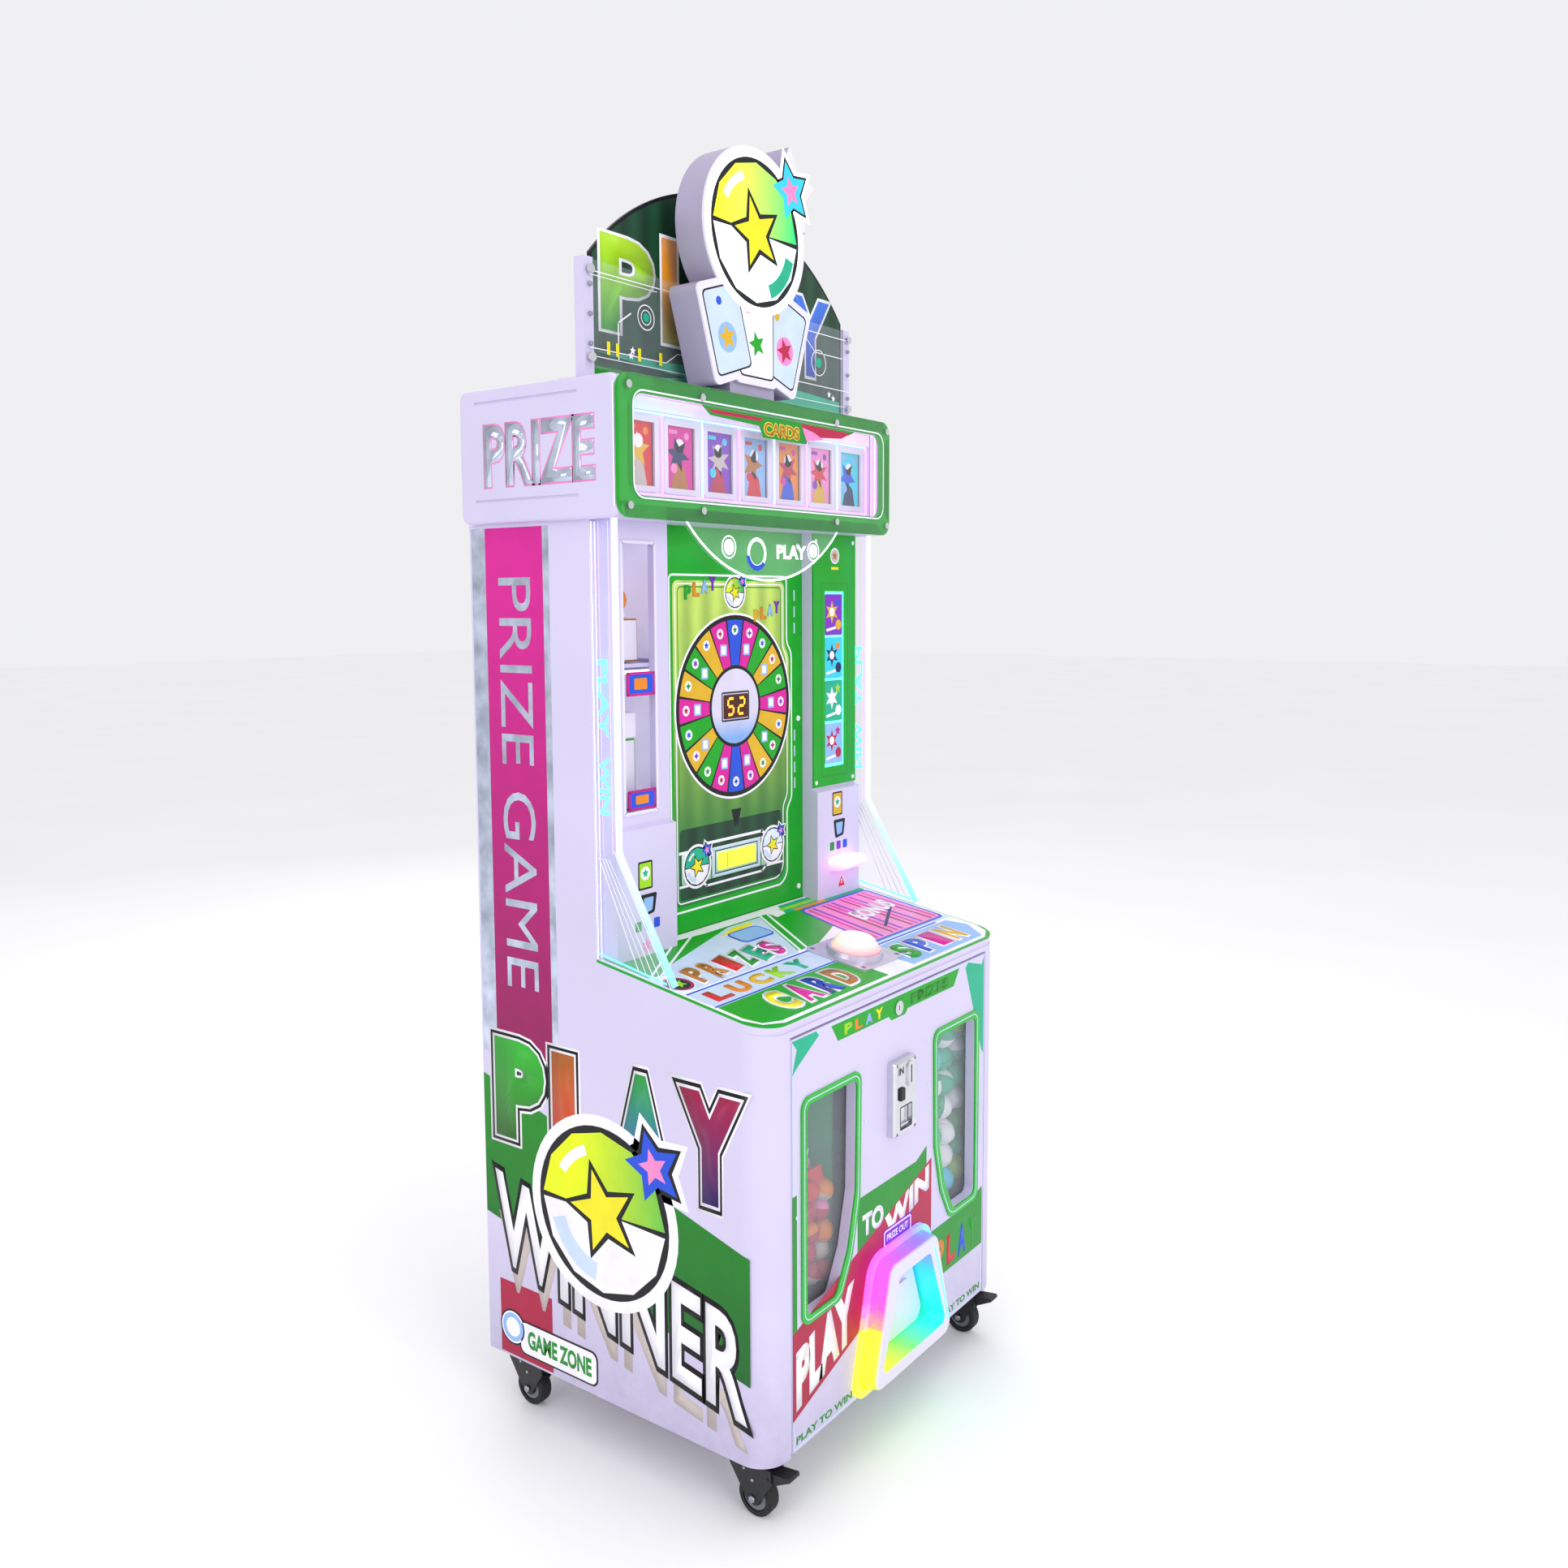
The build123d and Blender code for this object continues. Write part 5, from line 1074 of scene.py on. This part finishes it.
part = bmesh.new()
rack_front = rack_low.y
block(part, (-half + 20, rack_front - 14, 1534), (half - 20, rack_front - 4, 1540), 0, 1)
block(part, (-half + 20, rack_front - 14, 1704), (half - 20, rack_front - 4, 1710), 1, 1)
block(part, (-half + 16, rack_front - 14, 1540), (-half + 22, rack_front - 4, 1704), 2, 1)
block(part, (half - 22, rack_front - 14, 1540), (half - 16, rack_front - 4, 1704), 3, 1)
block(part, (-half + 34, rack_front - 3, 1553), (half - 34, rack_front - 0.5, 1556), 4, 1)
block(part, (-half + 34, rack_front - 3, 1678), (half - 34, rack_front - 0.5, 1681), 1, 1)
for i in range(8):
    u = pitch * (i - 3.5)
    block(part, (u - 2, rack_front - 3, 1557), (u + 2, rack_front - 0.5, 1677), 4 if i % 2 else 1, 1)
solid("header_lamps", "cabinet", part, [lit_pink, lit_cyan, lit_blue, lit_cyan, lit_violet])

# Coloured light from the strips, spilt over the white tray round the cards.
spill = finish("lit_white_tray", ("X", "#B9D8FF", -330, "#F6D2F4", 60), 0.4, shade=0.1, cloud=60, glow=0.45)
spill_right = finish(
    "lit_white_tray_right", ("X", "#F6D2F4", 0, "#A6F4F6", 320), 0.4, shade=0.1, cloud=60, glow=0.45
)
part = bmesh.new()
for low, high in (((-half + 24, 1541), (half - 24, 1552)), ((-half + 24, 1683), (half - 24, 1703))):
    for tone, a, b in ((0, low[0], 0), (1, 0, high[0])):
        block(part, (a, rack_front - 2, low[1]), (b, rack_front - 0.6, high[1]), tone, 0.4)
solid("header_tray_light", "cabinet", part, [spill, spill_right])

shell_high = span("header_shell")[1]
for name, side in (("left", -1), ("right", 1)):
    art = flank("header_side_" + name, "chrome_plate", side * shell_high.x, side)
    art.ink(pink).letters("PRIZE", -262, 1572, -18, 1668, weight=0.03, grow=2.5)
    art.ink(mirror).letters("PRIZE", -262, 1572, -18, 1668, weight=0.03)
    art.ink(white, 0.0).stroke([(21, 1532), (21, 1712)], 3)
    art.done()

# ---------------------------------------------------------------- topper

arch_low, arch_high = span("topper_arch")
art = Artwork("arch_print", "cabinet", "printed_sheet", (0, arch_low.y, 0), RIGHT, UP)
base_z, edge_z, crown_z, reach = arch_low.z, arch_low.z + 190, arch_high.z, arch_high.x
rise = crown_z - edge_z
bow = (reach**2 + rise**2) / (2 * rise)
curve = []
for step in range(25):
    u = (reach - 5) * (1 - step / 12)
    curve.append((u, crown_z - 6 - bow + math.sqrt(bow**2 - u**2)))
art.ink(forest).patch([(-reach + 5, base_z + 2), (reach - 5, base_z + 2)] + curve)
foot = [(-reach + 5, base_z + 2), (reach - 5, base_z + 2)]
hills = [(reach - 5, base_z + 42), (60, base_z + 56), (-120, base_z + 30), (-reach + 5, base_z + 44)]
art.ink(teal).patch(foot + hills)
art.ink(dark_green).patch(foot + [(reach - 5, base_z + 14), (-reach + 5, base_z + 22)])
arch_inks = [
    ink("arch_leaf", ("Z", "#0FA016", 1800, "#B4E016", 1960)),
    ink("arch_amber", ("Z", "#8C8A1C", 1800, "#E8901C", 1930)),
    ink("arch_flame", ("Z", "#C2361E", 1800, "#E8601C", 1990)),
    ink("arch_blue", ("Z", "#1740C8", 1800, "#3A7BE8", 1960)),
]
arch_letters = (("P", -318, -196, 1952), ("L", -176, -74, 1972), ("A", 40, 156, 1980), ("Y", 178, 300, 1948))
for grow in (5, 0):
    for i, (letter, a, b, top) in enumerate(arch_letters):
        art.ink(white if grow else arch_inks[i], 0.0 if i else 0.03)
        art.letters(letter, a, 1806, b, top, weight=0.04, grow=grow)
art.done()

art = Artwork("topper_sheet_lines", "cabinet", "clear_acrylic", (0, 47, 0), RIGHT, UP)
art.ink(white).stroke([(-352, 1886), (352, 1886)], 1.6).stroke([(-352, 1880), (-200, 1880)], 1.2)
art.stroke([(-352, 1772), (-180, 1772), (-150, 1790), (352, 1790)], 1.6)
art.stroke([(-352, 1760), (352, 1760)], 1.2)
art.stroke([(-290, 1760), (-290, 1818), (-262, 1836)], 2.2)
art.stroke([(200, 1880), (240, 1850), (330, 1850)], 1.6)
art.ring(-226, 1836, 20, 1.8, sides=40).ring(-226, 1836, 12, 1.5, sides=32).ring(252, 1832, 24, 1.8, sides=40)
art.ink(yellow)
for u in (-316, -296, -246, -196):
    art.bar(u, 1766, u + 7, 1786, 1)
art.ink(teal).disc(-226, 1836, 7, sides=20).disc(252, 1832, 9, sides=20)
art.ink(white)
for u, v in ((-262, 1772), (-258, 1780), (300, 1772), (286, 1778)):
    art.star(u, v, 7, 3)
art.done()

part = bmesh.new()
post_low = span("topper_posts")[0]
for s in (-1, 1):
    for z in (1778, 1822, 1866):
        centre = s * (half_width - 10)
        rod(part, (centre, post_low.y - 4, z), (centre, post_low.y - 6.5, z), 4, 0, 3)
solid("post_screws", "cabinet", part, [zinc_steel])

face_low = span("lightbox_face")[0]
art = Artwork("lightbox_print", "cabinet", "printed_sheet", (0, face_low.y, 0), RIGHT, UP)
middle, capsule_z, card_z, card_pitch = -45, 1991, 1825, 78
for turn in (-1, 0, 1):
    lean = math.radians(18 * turn)
    card_middle = middle - card_pitch * turn
    card = []
    for u, v in ((-46, -68), (46, -68), (46, 68), (-46, 68)):
        card.append(
            (
                card_middle + u * math.cos(lean) - v * math.sin(lean),
                card_z + u * math.sin(lean) + v * math.cos(lean),
            )
        )
    art.ink(black).patch(card, 9)
    small = [(card_middle + (u - card_middle) * 0.95, card_z + (v - card_z) * 0.96) for u, v in card]
    art.ink(pale_blue if turn else white).patch(small, 8)
    u, v = card_middle, card_z - 13
    art.ink([pink, white, sky][turn + 1]).disc(u, v, 24, sides=32)
    art.ink([crimson, green, gold][turn + 1]).star(u, v, 22, 10, turn=18)
    art.ink([gold, bright_magenta, blue][turn + 1]).disc(u - 22, card_z + 41, 7, sides=16)
star_u, star_v = middle + 96, capsule_z + 88
for material, radius, outer, inner in ((lit_white, 132, 70, 38), (black, 118, 58, 31)):
    art.ink(material).disc(middle, capsule_z, radius, sides=64).star(star_u, star_v, outer, inner, turn=18)
lid = ink("capsule_lid", ("X", "#F6F60A", -150, "#16C86A", 60), 0.5)
cup = ink("capsule_cup", ("X", "#F7F9FF", -150, "#C9F2E4", 60), 0.5)
art.ink(lid).wedge(middle, capsule_z, 0.5, 112, 2, 178)
art.ink(cup).wedge(middle, capsule_z, 0.5, 112, 182, 358)
art.ink(cyan).star(star_u, star_v, 50, 26, turn=18).ink(pink).star(star_u, star_v, 26, 12, turn=18)
art.ink(white).wedge(middle, capsule_z, 84, 98, 112, 152).ink(teal)
art.wedge(middle, capsule_z, 84, 106, 292, 344)
art.ink(black).star(middle, capsule_z, 72, 34, turn=18).ink(yellow).star(middle, capsule_z, 58, 25, turn=18)
art.done()

# ---------------------------------------------------------------- prizes behind the windows

chooser = random.Random(11)


def capsule(part, centre, radius, lid, cup):
    """A two-part prize capsule lying any way up: a tinted lid, a paler cup and the lip between them."""
    turn = Matrix.Rotation(chooser.uniform(0, 6.28), 4, "Z")
    turn = turn @ Matrix.Rotation(chooser.uniform(-1.3, 1.3), 4, "X")
    place = Matrix.Translation(centre) @ turn
    made = bmesh.ops.create_uvsphere(part, u_segments=18, v_segments=10, radius=radius, matrix=place)
    axis = (turn @ Vector((0, 0, 1, 0))).xyz
    for face in {f for v in made["verts"] for f in v.link_faces}:
        above = (face.calc_center_median() - Vector(centre)).dot(axis) > 0
        face.material_index = lid if above else cup
        face.smooth = True
    lip = radius * 1.05
    made = bmesh.ops.create_cone(
        part, cap_ends=True, segments=18, radius1=lip, radius2=lip, depth=2.4, matrix=place
    )
    for face in {f for v in made["verts"] for f in v.link_faces}:
        face.material_index = cup


# Hopper linings: lighter towards the lamps at the top and darker towards the floor, as painted light and
# shade; the green one also glows faintly as painted light.
lining_green_painted_light = ink("lining_green_painted_light", ("Z", "#0B5A44", 300, "#1FA86A", 650), 0.12)
lining_brown_painted_shade = ink("lining_brown_painted_shade", ("Z", "#2E2226", 300, "#5E5054", 650))
fills = (
    ("capsules_right", 1, 4, [teal, lime, mid_green, cyan, white], 25.0, 8),
    ("capsules_left", -1, 5, [crimson, red, pink, orange, tan], 18.5, 5),
)
for name, side, across, colours, radius, layers in fills:
    part = bmesh.new()
    step = radius * 2.02
    for layer in range(layers):
        for row in range(across):
            for deep in range(2):
                u = 128 + radius + row * (192 - 2 * radius) / (across - 1) + (layer % 2) * 3
                u += chooser.uniform(-2, 2)
                v = -253 + radius + deep * step * 0.95 + (layer % 2) * 4 + chooser.uniform(0, 3)
                w = 296 + radius + layer * step * 0.9 + (row % 2) * 8 + chooser.uniform(0, 5)
                pick = chooser.randrange(len(colours))
                capsule(
                    part,
                    (side * min(u, 325 - radius), v, w),
                    radius,
                    pick,
                    chooser.choice([4, pick, pick, 0]),
                )
    solid(name, "cabinet", part, colours)

part = bmesh.new()
for i in range(16):
    u, v, w = chooser.uniform(-318, -150), chooser.uniform(-240, -170), chooser.uniform(470, 520)
    tilt = Matrix.Rotation(
        chooser.uniform(-1, 1), 4, Vector((chooser.random(), chooser.random(), 1)).normalized()
    )
    made = bmesh.ops.create_cube(
        part, size=1.0, matrix=Matrix.Translation((u, v, w)) @ tilt @ Matrix.Diagonal((34, 6, 26, 1))
    )
    for face in {f for vertex in made["verts"] for f in vertex.link_faces}:
        face.material_index = i % 4
solid("wrapped_prizes", "cabinet", part, [red, pink, white, crimson])

hopper_floor, lining_top = 292, 650
hopper_near, hopper_far = 125, 327
hopper_front, hopper_back = -240, -45
part = bmesh.new()
for left, front, right, back, tone in (
    (hopper_near, hopper_back, hopper_far, hopper_back + 2, 0),
    (hopper_far - 2, hopper_front, hopper_far, hopper_back - 1, 0),
    (-hopper_far, hopper_back, -hopper_near, hopper_back + 2, 1),
    (-hopper_far, hopper_front, 2 - hopper_far, hopper_back - 1, 1),
    (-hopper_near - 2, hopper_front, -hopper_near, hopper_back - 1, 1),
):
    block(part, (left, front, hopper_floor), (right, back, lining_top), tone, 0.5)
solid("hopper_linings", "cabinet", part, [lining_green_painted_light, lining_brown_painted_shade])
part = bmesh.new()
block(part, (130, -248, 738), (322, -236, 746), 0, 1)
solid("hopper_lamp_right", "cabinet", part, [lit_cyan])
part = bmesh.new()
block(part, (-322, -248, 738), (-130, -236, 744), 0, 1)
solid("hopper_lamp_left", "cabinet", part, [ink("dim_lamp", "#C9B9A8", 0.4)])

# ---------------------------------------------------------------- prize outlet

bezel_low = span("prize_bezel")[0]
rainbow = bpy.data.materials.new("colour_changing_led_tube")
rainbow.use_nodes = True
tree = rainbow.node_tree
shader = tree.nodes["Principled BSDF"]
place = add(tree, "ShaderNodeTexCoord").outputs["Object"]
centred = add(
    tree,
    "ShaderNodeMapping",
    {"Vector": place, "Rotation": (math.radians(90), 0, 0), "Location": (0, 0.216, 0)},
)
turned = add(tree, "ShaderNodeTexGradient", {"Vector": centred.outputs["Vector"]}, gradient_type="RADIAL")
beads = add(tree, "ShaderNodeTexNoise", {"Vector": place, "Scale": 90.0, "Detail": 1.0})
shifted = add(tree, "ShaderNodeMath", {0: beads.outputs["Fac"], 1: 0.06}, operation="MULTIPLY")
summed = add(tree, "ShaderNodeMath", {0: shifted.outputs["Value"], 1: turned.outputs["Fac"]}, operation="ADD")
colours = add(tree, "ShaderNodeValToRGB", {"Fac": summed.outputs["Value"]})
ramp = colours.color_ramp
for position, shade in (
    (0.09, "#FF5CCB"),
    (0.2, "#C95CFF"),
    (0.33, "#8F7BFF"),
    (0.46, "#35D6FF"),
    (0.63, "#2FF5E0"),
    (0.78, "#7CFF6A"),
    (0.9, "#D8FF2E"),
):
    stop = ramp.elements.new(position)
    stop.color = linear(shade)
ramp.elements[0].color = linear("#FFC23C")
ramp.elements[-1].color = linear("#FFE23C")
tree.links.new(colours.outputs["Color"], shader.inputs["Base Color"])
tree.links.new(colours.outputs["Color"], shader.inputs["Emission Color"])
shader.inputs["Emission Strength"].default_value = 1.15
shader.inputs["Roughness"].default_value = 0.35
# The white moulded surround is no lamp: the tube's coloured light is painted on it, so its walls glow in the
# tube's colours as painted light while its flat front stays white.
lit_surround = rainbow.copy()
lit_surround.name = "bezel_painted_tube_light"
tree = lit_surround.node_tree
shader = tree.nodes["Principled BSDF"]
glow_colour = shader.inputs["Base Color"].links[0].from_socket
facing = add(tree, "ShaderNodeSeparateXYZ", {"Vector": add(tree, "ShaderNodeNewGeometry").outputs["Normal"]})
flat = add(tree, "ShaderNodeMath", {0: facing.outputs["Y"]}, operation="ABSOLUTE")
walls = add(
    tree,
    "ShaderNodeMapRange",
    {"Value": flat.outputs["Value"], "From Min": 0.3, "From Max": 0.9, "To Min": 1.0, "To Max": 0.0},
)
tinted = add(
    tree,
    "ShaderNodeMixRGB",
    {"Fac": walls.outputs["Result"], "Color1": linear("#DCD8E8"), "Color2": glow_colour},
)
black_front = add(
    tree,
    "ShaderNodeMixRGB",
    {"Fac": walls.outputs["Result"], "Color1": linear("#000000"), "Color2": glow_colour},
)
tree.links.new(tinted.outputs["Color"], shader.inputs["Base Color"])
tree.links.new(black_front.outputs["Color"], shader.inputs["Emission Color"])
shader.inputs["Emission Strength"].default_value = 0.38
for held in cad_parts["prize_bezel"].material_slots:
    held.material = lit_surround
art = Artwork("outlet_light", "front_door", "light_diffuser", (0, front_y, 0), RIGHT, UP, lift=0.0)
art.ink(rainbow, 9.0).outline([(-145, 104), (145, 104), (90, 326), (-90, 326)], 11, 30)
art.done()

flap_low = span("prize_flap")[0]
art = Artwork("flap_handle_line", "prize_flap", "black_plastic", (0, flap_low.y + 6, 0), RIGHT, UP)
bend = [(-24 + 6 * i, 250 - 12 * math.sin(math.pi * i / 8)) for i in range(9)]
art.ink(black).stroke(bend, 3)
art.done()
art = Artwork("bezel_inner_light", "front_door", "light_diffuser", (0, bezel_low.y, 0), RIGHT, UP, lift=0.0)
art.ink(lit_cyan, 0.4).stroke([(112, 148), (64, 292)], 5)
art.done()

# ---------------------------------------------------------------- coin entry

art = Artwork("coin_plate_details", "front_door", "chrome_plate", (0, front_y - 16, 0), RIGHT, UP)
art.ink(black).frame(-19, 519, 19, 559, 2, 3)
art.ink(black).letters("IN", -24, 614, -8, 626, weight=0.03)
for material, step, radius, sides in ((zinc_steel, 0.03, 3, 20), (black, 0.02, 1.6, 6)):
    art.ink(material, step)
    for u, v in ((-28, 515), (28, 515), (-28, 631), (28, 631)):
        art.disc(u, v, radius, sides=sides)
art.done()

# ---------------------------------------------------------------- castors and back

for corner in ("fl", "fr", "rl", "rr"):
    wheel_low, wheel_high = span("castor_wheel_" + corner)
    axle = (wheel_low + wheel_high) / 2
    part = bmesh.new()
    for s in (-1, 1):
        rod(part, axle + Vector((s * 17, 0, 0)), axle + Vector((s * 20.5, 0, 0)), 7, 0, 5, sides=6)
        for du, dv in ((0, 30), (16, 44)):
            spot = axle + Vector((s * 16.4, du, dv))
            rod(part, spot, spot + Vector((s * 1.6, 0, 0)), 3, 0, 2.2, sides=12)
    solid("castor_nuts_" + corner, "castor_fork_" + corner, part, [zinc_steel])
    part = bmesh.new()
    for s in (-1, 1):
        rod(part, axle + Vector((s * 9.2, 0, 0)), axle + Vector((s * 9.8, 0, 0)), 21, 0, 21)
    solid("castor_hub_" + corner, "castor_wheel_" + corner, part, [grey_steel])

back_art = Artwork("back_labels", "cabinet", "printed_sheet", (0, back_y, 0), (-1, 0, 0), UP)
screws = [(u, v) for u in (-330, 330) for v in (130, 480, 830, 1180, 1480)]
back_art.ink(zinc_steel)
for u, v in screws:
    back_art.disc(u, v, 4.5, sides=16)
back_art.ink(black, 0.04)
for u, v in screws:
    back_art.stroke([(u - 2.6, v), (u + 2.6, v)], 1).stroke([(u, v - 2.6), (u, v + 2.6)], 1)
back_art.done()

# ---------------------------------------------------------------- floor

floor_mesh = bpy.data.meshes.new("studio_floor")
part = bmesh.new()
bmesh.ops.create_grid(part, x_segments=1, y_segments=1, size=30)
part.to_mesh(floor_mesh)
part.free()
# Pale seamless studio floor: dead matt paper with the faintest mottling.
floor_mesh.materials.append(
    finish("studio_paper", "#FCFCFD", 0.9, shade=0.015, cloud=900, grain=60, depth=0.05)
)
floor = bpy.data.objects.new("studio_floor", floor_mesh)
bpy.context.scene.collection.objects.link(floor)
